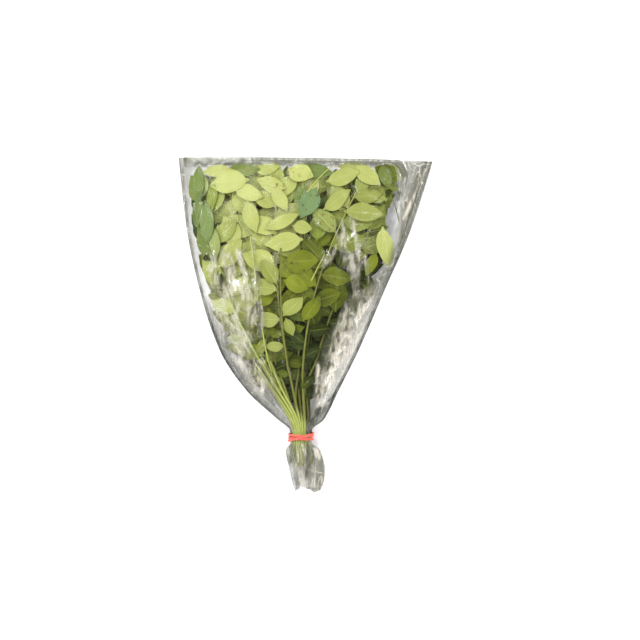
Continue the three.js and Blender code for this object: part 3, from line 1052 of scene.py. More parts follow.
@dataclass(frozen=True)
class StalkFinish(Finish):
    """The stalks and ribs: bright green at the neck, duller towards the tips, with lengthwise streaks, and
    painted darker towards the streaks' colour where their shade attribute paints shade.
    """

    name: str = "stalk_green"
    neck: Colour = paint(176, 188, 96)
    foot: Colour = paint(160, 164, 96)
    tip: Colour = paint(150, 156, 80)
    # The dark streaks' colour, which the shade attribute also uses as painted shade.
    streak_and_shade: Colour = paint(66, 66, 10)
    brightens: Span = (0.02, 0.16)
    dulls: Span = (0.3, 0.9)
    drawn: Triple = (1.0, 0.07, 1.0)
    streak_size: Span = (900.0, 2.2)
    streak_share: float = 0.22
    roughness: float = 0.5
    specular: float = 0.2
    relief: float = 0.35
    depth: float = 0.0004

    def inputs(self, tree: Tree, groups: Groups) -> dict[str, object]:
        """Gives its shader's inputs."""
        drawn = stretched(place_on(tree), self.drawn)
        streaks = groups.mottle(drawn, self.streak_size)["Value"]
        along = read(tree, "along")
        base = mix(ramp(along, self.brightens), self.foot, self.neck)
        base = mix(ramp(along, self.dulls), base, self.tip)
        # Painted shade: the shade attribute darkens the stalk towards the streaks' colour.
        base = mix(read(tree, "shade"), base, self.streak_and_shade)
        return {
            "Base Color": mix(times(streaks, self.streak_share), base, self.streak_and_shade),
            "Roughness": self.roughness,
            "Specular IOR Level": self.specular,
            "Normal": bumped(streaks, self.relief, self.depth),
        }


@dataclass(frozen=True)
class CutFinish(Finish):
    """The stalks' cut ends: pale pith, browned by drying."""

    name: str = "stalk_cut"
    pith: Colour = paint(214, 210, 160)
    dry: Colour = paint(128, 108, 64)
    patch_size: Span = (700.0, 2.6)
    roughness: float = 0.75

    def inputs(self, tree: Tree, groups: Groups) -> dict[str, object]:
        """Gives its shader's inputs."""
        patches = groups.mottle(place_on(tree), self.patch_size)
        return {"Base Color": mix(patches["Value"], self.pith, self.dry), "Roughness": self.roughness}


@dataclass(frozen=True)
class FilmFinish(Finish):
    """The clear film: see-through where it clings to the leaves, greyer where it is empty or creased; the
    grey of empty film is partly painted shade.

    `large` and `small` are the scale, the line width and the bend of its crinkles. `torn`, `gloss` and
    `dulls` each give the span that a value is read over and the span that it is turned into.
    """

    name: str = "clear_film"
    # The clear colour is the dark grey of hazy film, partly painted shade.
    clear: Colour = paint(86, 87, 66)
    # The pale colour of the cloudy places, which also paints highlights.
    cloudy: Colour = paint(224, 216, 198)
    # The dark colour of the seams, which also paints shade.
    seam: Colour = paint(38, 38, 36)
    drawn: Triple = (1.0, 0.28, 1.0)
    streak_size: Span = (260.0, 3.0)
    large: Triple = (46.0, 0.045, 0.02)
    small: Triple = (130.0, 0.07, 0.008)
    small_share: float = 0.6
    small_height: float = 0.4
    line_cloud: float = 0.8
    line_haze: float = 0.16
    bloom_haze: float = 0.5
    torn: tuple[Span, Span] = ((0.2, 0.75), (0.45, 1.0))
    uneven: Span = (0.75, 1.25)
    alpha: Span = (0.02, 0.9)
    dulls: tuple[Span, Span] = ((0.05, 0.35), (0.12, 0.42))
    gloss: tuple[Span, Span] = ((0.06, 0.3), (1.0, 0.25))
    index: float = 1.8
    coat_index: float = 2.0
    coat_roughness: float = 0.08
    relief: float = 0.5
    depth: float = 0.0012

    def inputs(self, tree: Tree, groups: Groups) -> dict[str, object]:
        """Gives its shader's inputs."""
        place = place_on(tree)
        drawn = stretched(place, self.drawn)
        streaks = groups.mottle(drawn, self.streak_size)["Value"]
        large = groups.crinkles(place, self.large)
        small = groups.crinkles(drawn, self.small)
        lines = calc("MAXIMUM", large["Lines"], times(small["Lines"], self.small_share))
        lines = times(lines, read(tree, "loose"))
        # The bloom attribute is cloudiness and painted highlights.
        bloom = times(read(tree, "bloom"), ramp(streaks, *self.torn))
        cloudy = calc("MAXIMUM", bloom, times(lines, self.line_cloud))
        # The edge attribute darkens the seams and also paints shade.
        edge = read(tree, "edge")
        veil = times(read(tree, "haze"), ramp(streaks, WHOLE, self.uneven))
        veil = plus(veil, times(lines, self.line_haze))
        veil = calc("MAXIMUM", veil, times(bloom, self.bloom_haze))
        height = plus(large["Height"], times(small["Height"], self.small_height))
        return {
            "Base Color": mix(edge, mix(cloudy, self.clear, self.cloudy), self.seam),
            "Alpha": limit(veil, self.alpha),
            "Roughness": ramp(veil, *self.dulls),
            "Coat Weight": times(ramp(veil, *self.gloss), less(1.0, edge)),
            "IOR": self.index,
            "Coat IOR": self.coat_index,
            "Coat Roughness": self.coat_roughness,
            "Normal": bumped(height, self.relief, self.depth),
        }


@dataclass(frozen=True)
class RubberFinish(Finish):
    """The red rubber: matt, with a paler bloom and the finest grain."""

    name: str = "red_rubber"
    red: Colour = paint(206, 62, 52)
    pale: Colour = paint(226, 128, 112)
    dust_size: Span = (420.0, 2.0)
    dust_share: float = 0.45
    roughness: Span = (0.42, 0.62)
    relief: float = 0.4
    depth: float = 0.0003

    def inputs(self, tree: Tree, groups: Groups) -> dict[str, object]:
        """Gives its shader's inputs."""
        dust = groups.mottle(place_on(tree), self.dust_size)
        return {
            "Base Color": mix(times(dust["Value"], self.dust_share), self.red, self.pale),
            "Roughness": ramp(dust["Value"], WHOLE, self.roughness),
            "Normal": bumped(dust["Grain"], self.relief, self.depth),
        }


@dataclass(frozen=True)
class FloorFinish(Finish):
    """A plain pale floor with the faintest patches."""

    name: str = "pale_floor"
    pale: Colour = (0.94, 0.94, 0.94, 1.0)
    paler: Colour = (0.96, 0.96, 0.96, 1.0)
    patch_size: Span = (3.0, 1.0)
    roughness: float = 0.9

    def inputs(self, tree: Tree, groups: Groups) -> dict[str, object]:
        """Gives its shader's inputs."""
        patches = groups.mottle(place_on(tree), self.patch_size)
        return {"Base Color": mix(patches["Value"], self.pale, self.paler), "Roughness": self.roughness}


LEAF_FACE = LeafFinish(
    name="leaf_face",
    young=paint(132, 142, 38),
    old=paint(28, 38, 1),
    blue=paint(96, 118, 76),
    vein=paint(130, 142, 56),
    midrib=paint(140, 148, 70),
    blemish=paint(64, 50, 18),
    vein_share=0.12,
    midrib_share=0.24,
    roughness=(0.34, 0.48),
    relief=0.6,
)
LEAF_BACK = LeafFinish(
    name="leaf_back",
    young=paint(160, 166, 96),
    old=paint(92, 102, 24),
    blue=paint(108, 128, 88),
    vein=paint(166, 172, 104),
    midrib=paint(174, 178, 110),
    blemish=paint(104, 90, 44),
    vein_share=0.2,
    midrib_share=0.3,
    roughness=(0.5, 0.62),
    relief=0.55,
)


# ---- The leaves ----


class Showing(Enum):
    """Which side of a leaflet faces up."""

    FACE = "face"
    BACK = "back"


@dataclass(frozen=True)
class Look:
    """How a leaflet looks: the side that shows, its tone from young to old, which is also darkened as painted
    shade, and how blue it is.
    """

    showing: Showing
    tone: float
    cool: float = 0.0


@dataclass(frozen=True)
class LooseLeaflet:
    """A leaflet that lies loose: its middle, its heading in degrees, its length, its width over the usual
    one, its layer and its look.
    """

    x: float
    y: float
    heading: float
    length: float
    broad: float
    layer: float
    look: Look = Look(Showing.FACE, 0.0)

    def leaflet(self, number: int) -> Leaflet:
        """The leaflet, rooted at its foot."""
        heading = math.radians(self.heading)
        x = self.x - math.sin(heading) * self.length / 2
        y = self.y - math.cos(heading) * self.length / 2
        return Leaflet(np.array((x, y, 0.0)), heading, self.length, number)


@dataclass(frozen=True)
class TonePatch:
    """A part of the bunch whose leaflets share a look: its middle, its reach, what share of them lie back up,
    their tone from young to old, made darker in places as painted shade, and how blue they are.
    """

    x: float
    y: float
    reach: float
    pale: float
    tone: float
    cool: float = 0.0


PATCHES = table(
    TonePatch,
    (-80, 138, 34, 1.0, 0.2),
    (-60, 158, 16, 0.0, 0.35),
    (-110, 134, 20, 0.0, 0.6, 0.5),
    (-106, 96, 20, 0.0, 0.55, 0.5),
    (-30, 120, 34, 1.0, 0.2),
    (-20, 82, 24, 1.0, 0.3),
    (-2, 148, 16, 1.0, 0.15),
    (2, 116, 16, 0.0, 0.3, 0.9),
    (48, 140, 34, 1.0, 0.5),
    (78, 152, 16, 0.0, 0.7),
    (60, 100, 30, 0.7, 0.7),
    (82, 75, 16, 1.0, 0.2),
    (0, 50, 40, 0.1, 0.45),
    (40, 50, 40, 0.0, 0.85),
    (-70, 60, 36, 0.9, 0.35),
    (-32, -15, 24, 0.5, 0.55),
    # These two darken the low middle of the bunch, near the neck: painted shade.
    (12, -22, 39, 0.0, 1.15),
    (-16, -46, 24, 0.2, 0.75),
)


def pale(tone: float, cool: float = 0.0) -> Look:
    """A leaflet with its back up."""
    return Look(Showing.BACK, tone, cool)


def deep(tone: float, cool: float = 0.0) -> Look:
    """A leaflet with its face up."""
    return Look(Showing.FACE, tone, cool)


# The leaflets that lie on top of the bunch, under the film.
TOP_LEAFLETS = table(
    LooseLeaflet,
    (-5, 150, 112, 27, 1.3, 4.7, pale(0.0)),
    (-21, 82, -98, 38, 0.95, 4.6, pale(0.2)),
    (-23, 103, 62, 37, 0.62, 4.6, pale(0.22)),
    (-3, 96, 100, 20, 1.2, 4.5, pale(0.3)),
    (3, 121, -152, 35, 1.1, 4.6, deep(0.35, 1.0)),
    (-76, 142, -97, 40, 0.95, 4.6, pale(0.12)),
    (-56, 131, 104, 31, 1.05, 4.5, pale(0.1)),
    (-52, 108, 158, 34, 0.95, 4.6, pale(0.3)),
    (-88, 153, -100, 30, 0.8, 4.5, pale(0.15)),
    (-34, 140, -70, 30, 1.0, 4.4, pale(0.1)),
    (-25, 125, 150, 28, 1.0, 4.5, pale(0.15)),
    (-61, 155, 92, 33, 0.8, 4.4, deep(0.5, 0.3)),
    (10, 155, 95, 38, 0.75, 4.3, deep(0.55, 0.5)),
    (80, 148, 160, 26, 1.0, 4.5, deep(0.65, 0.3)),
    (78, 77, 176, 42, 0.72, 4.75, pale(0.0)),
    (66, 60, -160, 26, 0.8, 4.5, deep(0.5)),
    (-105, 141, 177, 40, 0.62, 4.75, deep(0.55, 0.5)),
    (-99, 102, 179, 43, 0.6, 4.8, deep(0.4, 0.7)),
    (-106, 116, -177, 38, 0.42, 4.75, deep(0.6, 0.5)),
    (-94, 126, -172, 36, 0.55, 4.5, deep(0.2, 0.3)),
    (-91, 82, 176, 34, 0.6, 4.5, pale(0.5, 0.4)),
    (-38, 156, 82, 28, 0.8, 4.3, pale(0.25)),
    (48, 156, 96, 32, 0.7, 4.3, pale(0.3)),
    (38, 146, 78, 36, 0.9, 4.5, pale(0.3)),
    (62, 149, 128, 32, 1.0, 4.5, pale(0.2)),
    (58, 110, 98, 40, 0.9, 4.6, pale(0.55)),
    (32, 123, 58, 34, 0.9, 4.5, pale(0.45)),
    (-36, 52, -34, 28, 1.1, 4.4, pale(0.7)),
    (-13, 19, 42, 27, 1.1, 4.6, pale(0.5)),
    (5, 17, 30, 31, 0.95, 4.4, deep(0.62)),
    (-16, -2, 160, 19, 1.1, 4.5, pale(0.6)),
    (-4, 62, 92, 35, 1.1, 4.3, deep(0.5)),
    (-9, 41, 104, 26, 1.1, 4.25, deep(0.4)),
    # The last six are small near-black leaflets standing in for dark gaps and creases between the leaves and
    # the dark wedge right of the neck: painted shade.
    (-101.5, 126, 20, 7, 1.3, 4.95, deep(1.3)),
    (-99.5, 67, 0, 7, 1.3, 4.95, deep(1.3)),
    (83, 132, 100, 8, 1.2, 4.9, deep(1.3)),
    (-83, 44, 178, 17, 0.4, 4.95, deep(1.1)),
    (7.5, -96, 28, 15, 0.9, 2.6, deep(1.3)),
    (12.5, -88, 34, 15, 0.8, 2.6, deep(1.3)),
)


@dataclass(frozen=True)
class LooseStem:
    """A bare length of rib on top of the bunch: places along it, its layer, its thickness over a rib's and
    its shade, which darkens it partly for its own duller colour and partly as painted shade.
    """

    route: tuple[Span, ...]
    layer: float
    thick: float
    shade: float


TOP_STEMS = (
    LooseStem(((2, 131), (13, 145), (27, 158)), 4.75, 0.7, 0.0),
    LooseStem(((6, 44), (12, 56), (19, 70)), 4.6, 0.55, 0.0),
    LooseStem(((-17, -45), (-21.5, -10), (-24, 24), (-24.2, 76)), 4.75, 0.8, 0.7),
    LooseStem(((62, 134), (76, 137), (86, 126), (93, 104)), 4.5, 0.6, 0.7),
    LooseStem(((-54, 88), (-50, 52), (-45, 14), (-39, -26), (-33, -46)), 4.75, 0.85, 0.0),
    LooseStem(((-8, -103), (-12, -90), (-20.5, -77), (-31, -58), (-43, -36)), 4.3, 1.35, 0.0),
    LooseStem(((-10, -103), (-15, -90), (-24, -77), (-36, -58), (-50, -38)), 4.1, 1.3, 0.0),
    LooseStem(((-12, -103), (-17, -91), (-25.5, -78), (-36.5, -60), (-50, -43)), 3.9, 1.15, 0.0),
    LooseStem(((-6, -103), (-9.5, -90), (-17, -77), (-26, -58), (-35, -36)), 4.2, 1.2, 0.0),
)

# How far the foliage reaches to the left and right at each y.
FOLIAGE_Y = (-76, -60, -25, 0, 30, 100, 160)
FOLIAGE_LEFT = (-16, -27, -56, -80, -100, -115, -119)
FOLIAGE_RIGHT = (5, 9, 18, 30, 56, 86, 92)


@dataclass
class LeafMaker:
    """Makes leaflets from one outline, each bent and toned for its own place."""

    form: FrondForm
    groups: Groups
    columns: int = 8
    rows: int = 16
    row_pace: float = 0.94
    stalk_share: float = 0.06
    stalk_width: float = 0.09
    stalk_taper: float = 0.6
    fullest: float = 0.82
    fullness: float = 0.74
    pinch: float = 0.22
    pinched: Span = (0.72, 0.92)
    tip_width: float = 0.35
    least_width: float = 0.05
    slender: float = 0.275
    thickness: float = 0.36
    rounded: float = 50.0
    top_layer: float = 4.0
    # How much darker the tone is for each layer below the top: painted shade.
    deep: float = 0.13
    deepest: float = 1.2
    side_stray: float = 0.22
    tone_stray: float = 0.25
    cool_stray: float = 0.1
    worn_power: int = 4
    width_stray: float = 0.12
    oblique: float = 0.16
    oblique_pace: float = 1.6
    curl: float = 0.09
    fold: float = 1.3
    wave: float = 0.45
    waves: float = 1.5
    arch: float = 0.9
    stiff: Span = (0.02, 0.25)
    materials: list[Material] = field(default_factory=list)
    pattern: Item | None = None

    def outline(self, along: Array) -> Array:
        """Half the leaflet's width at a share of its length, as a share of the greatest."""
        blade = np.clip((along - self.stalk_share) / (1 - self.stalk_share), 0, 1)
        wide = np.sin(np.pi * blade**self.fullest) ** self.fullness
        drawn = 1 - self.pinch * smoothstep(blade, *self.pinched)
        return np.maximum(wide * drawn, self.stalk_width * (1 - self.stalk_taper * along))

    def build(self) -> None:
        """Models the one leaflet that all the others are copied from."""
        self.materials = [LEAF_FACE.build(self.groups), LEAF_BACK.build(self.groups)]
        sheet = new_grid(self.columns, self.rows)
        points = points_of(sheet)
        along = ((points[:, 1] + 1) / 2) ** self.row_pace
        points[:, 0] *= self.outline(along)
        points[:, 1] = along
        points[-(self.columns + 1) :, 0] *= self.tip_width
        move_points(sheet, points)
        for material in self.materials:
            sheet.data.materials.append(material)
        thicken(sheet, 1.0, 0.0, back=1)
        smooth(sheet, self.rounded)
        self.pattern = name_mesh(sheet, "leaflet_pattern")

    def look(self, leaflet: Leaflet, layer: float, key: int) -> Look:
        """Which side of a leaflet shows, and its tone and coolness.

        Args:
            leaflet: The leaflet.
            layer: The layer it lies in.
            key: A number for its strays.

        Returns:
            Its look.
        """
        x = leaflet.root[0] + math.sin(leaflet.heading) * leaflet.length / 2
        y = leaflet.root[1] + math.cos(leaflet.heading) * leaflet.length / 2
        near = np.array([math.exp(-((x - p.x) ** 2 + (y - p.y) ** 2) / p.reach**2) for p in PATCHES])
        weights = near**2 / (near**2).sum()
        held = zip(*((w * p.pale, w * p.tone, w * p.cool) for w, p in zip(weights, PATCHES)))
        upturned, tone, cool = (float(sum(parts)) for parts in held)
        upturned += self.side_stray * wobble(key, Stray.SIDE)
        # Leaflets in lower layers get a darker tone: painted shade.
        tone = tone + self.tone_stray * wobble(key, Stray.TONE) + self.deep * (self.top_layer - layer)
        cool += self.cool_stray * wobble(key, Stray.COOL)
        showing = Showing.BACK if upturned > 0.5 else Showing.FACE
        return Look(showing, float(np.clip(tone, 0, self.deepest)), float(np.clip(cool, 0, 1)))

    def place(
        self, leaflet: Leaflet, look: Look, key: int, lie: Callable[[Array, Array], Array], broad: float = 1.0
    ) -> Item:
        """Copies the leaflet to its place and bends it.

        Args:
            leaflet: Where the leaflet stands.
            look: How it looks.
            key: A number for its strays.
            lie: The height at which it lies at any place.
            broad: Its width over the usual one.

        Returns:
            The copy.
        """
        copy = self.pattern.copy()
        copy.data = self.pattern.data.copy()
        bpy.context.collection.objects.link(copy)
        flat = points_of(copy)
        across, along, layer = flat[:, 0], flat[:, 1], flat[:, 2]
        width = leaflet.length * self.slender * broad * (1 + self.width_stray * wobble(key, Stray.WIDTH))
        oblique = self.oblique * wobble(key, Stray.OBLIQUE)
        oblique = oblique * np.sin(np.pi * np.clip(along * self.oblique_pace, 0, 1))
        out = across * width * (1 + oblique * np.sign(across))
        out += self.curl * wobble(key, Stray.CURL) * leaflet.length * np.sin(np.pi * along / 2) ** 2
        reach = along * leaflet.length
        sine, cosine = math.sin(leaflet.heading), math.cos(leaflet.heading)
        x = leaflet.root[0] + sine * reach + cosine * out
        y = leaflet.root[1] + cosine * reach - sine * out
        share = np.abs(across) / np.maximum(self.outline(along), self.least_width)
        fold = (0.5 + 0.5 * wobble(key, Stray.FOLD)) * self.fold * (share - 0.5)
        turn = 2 * math.pi * (self.waves * along + wobble(key, Stray.WAVE))
        wave = self.wave * share**2 * np.sin(turn) * np.sign(across)
        arch = self.arch * wobble(key, Stray.ARCH) * (np.sin(np.pi * along) - 0.5)
        free = leaflet.length / self.form.leaflet_length * smoothstep(along, *self.stiff)
        relief = free * (fold + wave + arch) * self.form.slack(x, y)
        z = lie(x, y) + relief + layer * self.thickness
        move_points(copy, np.stack([x, y, z], axis=1) * MM)
        if look.showing is Showing.BACK:
            slots = np.empty(len(copy.data.polygons), dtype=np.int32)
            copy.data.polygons.foreach_get("material_index", slots)
            copy.data.polygons.foreach_set("material_index", 1 - slots)
        worn = float(max(0.0, wobble(key, Stray.WORN)) ** self.worn_power)
        for name, value in (("tone", look.tone), ("cool", look.cool), ("worn", worn)):
            write_attribute(copy, name, value)
        return copy

    def clear(self) -> None:
        """Takes the pattern out of the scene."""
        bpy.data.objects.remove(self.pattern, do_unlink=True)


@dataclass
class StalkMaker:
    """Makes the stalks and ribs. Right of `dark_left` at `dark_y` they lie in the others' shade, which is
    painted into their colour.
    """

    form: FrondForm
    groups: Groups
    step: float = 2.6
    sides: int = 2
    node_swell: float = 0.2
    node_length: float = 1.8
    foot_swell: float = 0.35
    foot_length: float = 7.0
    tip_overlap: float = 2.0
    tip_taper: float = 0.5
    cap_facing: float = -0.9
    cap_depth: float = 1.0
    rounded: float = 45.0
    # Where, and how much, the stalks are painted darker as the others' shade.
    dark_y: tuple[float, ...] = (-112, -100, -90, -80, -60, -20, 40)
    dark_left: tuple[float, ...] = (4, 0, -4, -13, -22, -43, -76)
    dark_soft: float = 4.0
    dark_from: Span = (-118, -108)
    dark_until: Span = (40, 110)
    dark_depth: float = 0.68
    materials: list[Material] = field(default_factory=list)

    def build(self) -> None:
        """Makes the finishes."""
        self.materials = [StalkFinish().build(self.groups), CutFinish().build(self.groups)]

    def tube(self, points: Array, radii: Array) -> Item:
        """A round tube along a line.

        Args:
            points: The line's points, in millimetres.
            radii: The radius at each point, in millimetres.

        Returns:
            The tube, closed at both ends.
        """
        deselect_all()
        bpy.ops.curve.primitive_nurbs_path_add(location=(0, 0, 0))
        curve = bpy.context.active_object
        data = curve.data
        data.splines.clear()
        spline = data.splines.new("POLY")
        spline.points.add(len(points) - 1)
        flat = np.concatenate([points * MM, np.ones((len(points), 1))], axis=1)
        spline.points.foreach_set("co", flat.ravel())
        spline.points.foreach_set("radius", radii)
        data.dimensions = "3D"
        data.bevel_depth = MM
        data.bevel_resolution = self.sides
        data.use_fill_caps = True
        data.twist_mode = "Z_UP"
        select_only(curve)
        bpy.ops.object.convert(target="MESH")
        made = bpy.context.active_object
        clean(made)
        return made

    def rib(self, sprig: Sprig, frond: Frond, leaflets: list[Leaflet], shade: float) -> Item:
        """A frond's rib with its stalk, swollen at its foot and where each leaflet stands.

        Args:
            sprig: The sprig.
            frond: The frond.
            leaflets: The frond's leaflets.
            shade: How much painted shade darkens it.

        Returns:
            The rib.
        """
        form = self.form
        start = form.cut_y + sprig.trim if frond.fork is None else form.fan_y + frond.fork
        end = frond.tip - form.terminal_length + self.tip_overlap
        y = np.linspace(start, end, round((end - start) / self.step) + 1)
        line = form.rib(sprig, frond, y)
        radii = form.radius(sprig, frond, y, end)
        for leaflet in leaflets:
            radii = radii * (1 + self.node_swell * np.exp(-(((y - leaflet.root[1]) / self.node_length) ** 2)))
        if frond.fork is None:
            radii = radii * (1 + self.foot_swell * (1 - smoothstep(y, start, start + self.foot_length)))
        radii[-1] *= self.tip_taper
        made = self.tube(line, radii)
        x, y, _ = (points_of(made) / MM).T
        write_attribute(made, "along", (y - form.cut_y) / (end - form.cut_y))
        # Painted shade: stalks right of the dark line are coloured darker.
        dark = smoothstep(x - np.interp(y, self.dark_y, self.dark_left), -self.dark_soft, self.dark_soft)
        dark = dark * smoothstep(y, *self.dark_from) * (1 - smoothstep(y, *self.dark_until))
        write_attribute(made, "shade", np.clip(shade + self.dark_depth * dark, 0, 1))
        for material in self.materials:
            made.data.materials.append(material)
        for face in made.data.polygons:
            if face.normal.y < self.cap_facing and face.center.y < (start + self.cap_depth) * MM:
                face.material_index = 1
        return made


@dataclass
class LooseMaker:
    """Lays the loose leaflets, some between the fronds and some on top of the bunch, and the loose ribs."""

    leaves: LeafMaker
    stalks: StalkMaker
    pitch: float = 15.0
    margin: float = 9.0
    stray: float = 0.42
    layers: tuple[float, ...] = (0.4, 1.6, 2.7, 3.5)
    first_key: int = 4000
    row_keys: int = 40
    lengths: Span = (20, 34)
    grow_over: Span = (-60, 40)
    length_stray: float = 0.12
    turn: float = 90.0
    broad: float = 1.05
    stem_points: int = 28
    stem_bends: int = 3
    stem_taper: float = 0.35
    stem_along: float = 0.7

    def between(self) -> list[LooseLeaflet]:
        """Leaflets strewn between the fronds, over all that the foliage covers.

        Returns:
            The leaflets.
        """
        found = []
        for row in range(round((FOLIAGE_Y[-1] - FOLIAGE_Y[0]) / self.pitch)):
            y = FOLIAGE_Y[0] + (row + 0.5) * self.pitch
            left, right = (float(np.interp(y, FOLIAGE_Y, edge)) for edge in (FOLIAGE_LEFT, FOLIAGE_RIGHT))
            count = max(2, round((right - left - self.margin) / self.pitch))
            for column in range(count):
                key = self.first_key + self.row_keys * row + column
                x = left + self.margin + (right - left - 2 * self.margin) * column / (count - 1)
                x += self.stray * self.pitch * wobble(key, Stray.ACROSS)
                spot = y + self.stray * self.pitch * wobble(key, Stray.ALONG)
                layer = self.layers[(row + 2 * column) % len(self.layers)]
                length = lerp(*self.lengths, smoothstep(y, *self.grow_over))
                length *= 1 + self.length_stray * wobble(key, Stray.LENGTH)
                heading = self.turn * wobble(key, Stray.HEADING)
                loose = LooseLeaflet(x, spot, heading, length, self.broad, layer)
                found.append(replace(loose, look=self.leaves.look(loose.leaflet(key), layer, key)))
        return found

    def fits(self, loose: LooseLeaflet) -> bool:
        """Whether a leaflet's ends and edges stay inside the sleeve.

        Args:
            loose: The leaflet.

        Returns:
            Whether all four do.
        """
        aside = loose.length * loose.broad * self.leaves.slender
        heading = math.radians(loose.heading)
        middle = np.array((loose.x, loose.y))
        ways = ((heading, loose.length / 2), (heading + math.pi / 2, aside))
        reaches = ((way, reach * sign) for way, reach in ways for sign in (1, -1))
        return all(self.leaves.form.fits(middle, way, reach) for way, reach in reaches)

    def build(self, name: str, slot: str, strewn: list[LooseLeaflet], first: int) -> Item:
        """Lays the leaflets that fit in the sleeve as one piece.

        Args:
            name: The piece's name.
            slot: The name of a material slot, handed on to `settle`.
            strewn: The leaflets.
            first: The number of the first one.

        Returns:
            The piece.
        """
        made = []
        for key, loose in enumerate(filter(self.fits, strewn), first):
            lie = partial(self.leaves.form.loose_height, loose.layer)
            made.append(self.leaves.place(loose.leaflet(key), loose.look, key, lie, loose.broad))
        return settle(join(made, name), slot)

    def build_stems(self) -> Item:
        """Lays the loose ribs as one piece.

        Returns:
            The piece.
        """
        made = []
        form = self.leaves.form
        for stem in TOP_STEMS:
            route = np.array(stem.route, dtype=float)
            places = np.linspace(0, 1, len(route))
            t = np.linspace(0, 1, self.stem_points)
            bends = min(self.stem_bends, len(route) - 1)
            x, y = (np.poly1d(np.polyfit(places, route[:, k], bends))(t) for k in (0, 1))
            line = np.stack([x, y, form.loose_height(stem.layer, x, y)], axis=1)
            rib = self.stalks.tube(line, form.rib_radius * stem.thick * (1 - self.stem_taper * t))
            write_attribute(rib, "along", self.stem_along)
            write_attribute(rib, "shade", stem.shade)
            rib.data.materials.append(self.stalks.materials[0])
            made.append(rib)
        piece = join(made, "ribs_on_top")
        smooth(piece, self.stalks.rounded)
        return settle(piece, LEAF_PALE)


@dataclass
class SprigMaker:
    """Builds each sprig as two pieces: its blades and its stalk."""

    leaves: LeafMaker
    stalks: StalkMaker
    frond_keys: int = 50
    between_keys: int = 6000
    top_keys: int = 7000
    # How dark the top layer's stalks are painted, and how much darker each layer below: painted shade.
    top_shade: float = 0.1
    layer_shade: float = 0.12
    made: list[Item] = field(default_factory=list)

    def build(self) -> None:
        """Builds all the sprigs."""
        self.leaves.build()
        self.stalks.build()
        number = 0
        for sprig in SPRIGS + INFILL:
            blades, ribs = [], []
            for frond in sprig.fronds:
                leaflets = self.leaves.form.leaflets(sprig, frond, number)
                # Painted shade: stalks lower in the bunch are darker.
                shade = self.top_shade + self.layer_shade * (self.leaves.top_layer - frond.layer)
                ribs.append(self.stalks.rib(sprig, frond, leaflets, shade))
                lie = partial(self.leaves.form.blade_height, sprig, frond)
                for leaflet in leaflets:
                    key = self.frond_keys * number + leaflet.number
                    look = self.leaves.look(leaflet, frond.layer, key)
                    blades.append(self.leaves.place(leaflet, look, key, lie))
                number += 1
            blade_piece = join(blades, f"{sprig.name}_blades")
            stalk_piece = join(ribs, f"{sprig.name}_stalk")
            smooth(stalk_piece, self.stalks.rounded)
            settle(blade_piece, sprig.slot, *(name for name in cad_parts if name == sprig.name))
            settle(stalk_piece, sprig.slot)
            self.made += [blade_piece, stalk_piece]
        loose = LooseMaker(self.leaves, self.stalks)
        self.made += [
            loose.build("leaflets_between", LEAF_DEEP, loose.between(), self.between_keys),
            loose.build("leaflets_on_top", LEAF_PALE, list(TOP_LEAFLETS), self.top_keys),
            loose.build_stems(),
        ]
        self.leaves.clear()


# ---- The film ----


@dataclass
class Canopy:
    """How high the foliage stands, for the upper sheet to lie on it.

    In each cell, `peaks` is its highest point, `level` its mean height round about and `cover` how much
    of the ground there it covers.
    """

    half_width: float = 132.0
    from_y: float = -108.0
    to_y: float = 171.0
    cell: float = 3.0
    bare: float = 0.15
    passes: int = 3
    gathered: int = 5
    inside: float = 1.001
    peaks: Array | None = None
    level: Array | None = None
    cover: Array | None = None

    def survey(self, pieces: list[Item]) -> None:
        """Reads the highest point of the foliage in each cell.

        Args:
            pieces: The foliage's pieces.
        """
        columns = math.ceil(2 * self.half_width / self.cell)
        rows = math.ceil((self.to_y - self.from_y) / self.cell)
        peaks = np.zeros((rows, columns))
        for piece in pieces:
            points = points_of(piece) / MM
            points = points[points[:, 1] > self.from_y]
            column = ((points[:, 0] + self.half_width) / self.cell).astype(int)
            row = ((points[:, 1] - self.from_y) / self.cell).astype(int)
            np.maximum.at(peaks, (row, column), points[:, 2])
        self.peaks = self.around(peaks, np.maximum)
        held = (self.peaks > 0).astype(float)
        total, cover = self.peaks, held
        for _ in range(self.passes):
            total, cover = (self.around(grid, np.add) / self.gathered for grid in (total, cover))
        self.level = np.where(cover > self.bare, total / np.maximum(cover, self.bare), 0.0)
        self.cover = cover

    @staticmethod
    def around(grid: Array, gather: Callable[[Array, Array], Array]) -> Array:
        """Each cell gathered with its four neighbours.

        Args:
            grid: The cells.
            gather: What two cells make together.

        Returns:
            The gathered cells.
        """
        wide = np.pad(grid, 1, mode="edge")
        found = wide[1:-1, 1:-1]
        for beside in (wide[:-2, 1:-1], wide[2:, 1:-1], wide[1:-1, :-2], wide[1:-1, 2:]):
            found = gather(found, beside)
        return found

    def sample(self, grid: Array, x: Array, y: Array) -> Array:
        """The grid's value at any place, between the cells' middles.

        Args:
            grid: The cells.
            x: Places across.
            y: Places along.

        Returns:
            The value at each place.
        """
        column = np.clip((x + self.half_width) / self.cell - 0.5, 0, grid.shape[1] - self.inside)
        row = np.clip((y - self.from_y) / self.cell - 0.5, 0, grid.shape[0] - self.inside)
        i, j = row.astype(int), column.astype(int)
        u, v = row - i, column - j
        return lerp(lerp(grid[i, j], grid[i, j + 1], v), lerp(grid[i + 1, j], grid[i + 1, j + 1], v), u)


class Sheet(Enum):
    """The two sheets that the sleeve is welded from."""

    UPPER = 1
    LOWER = -1


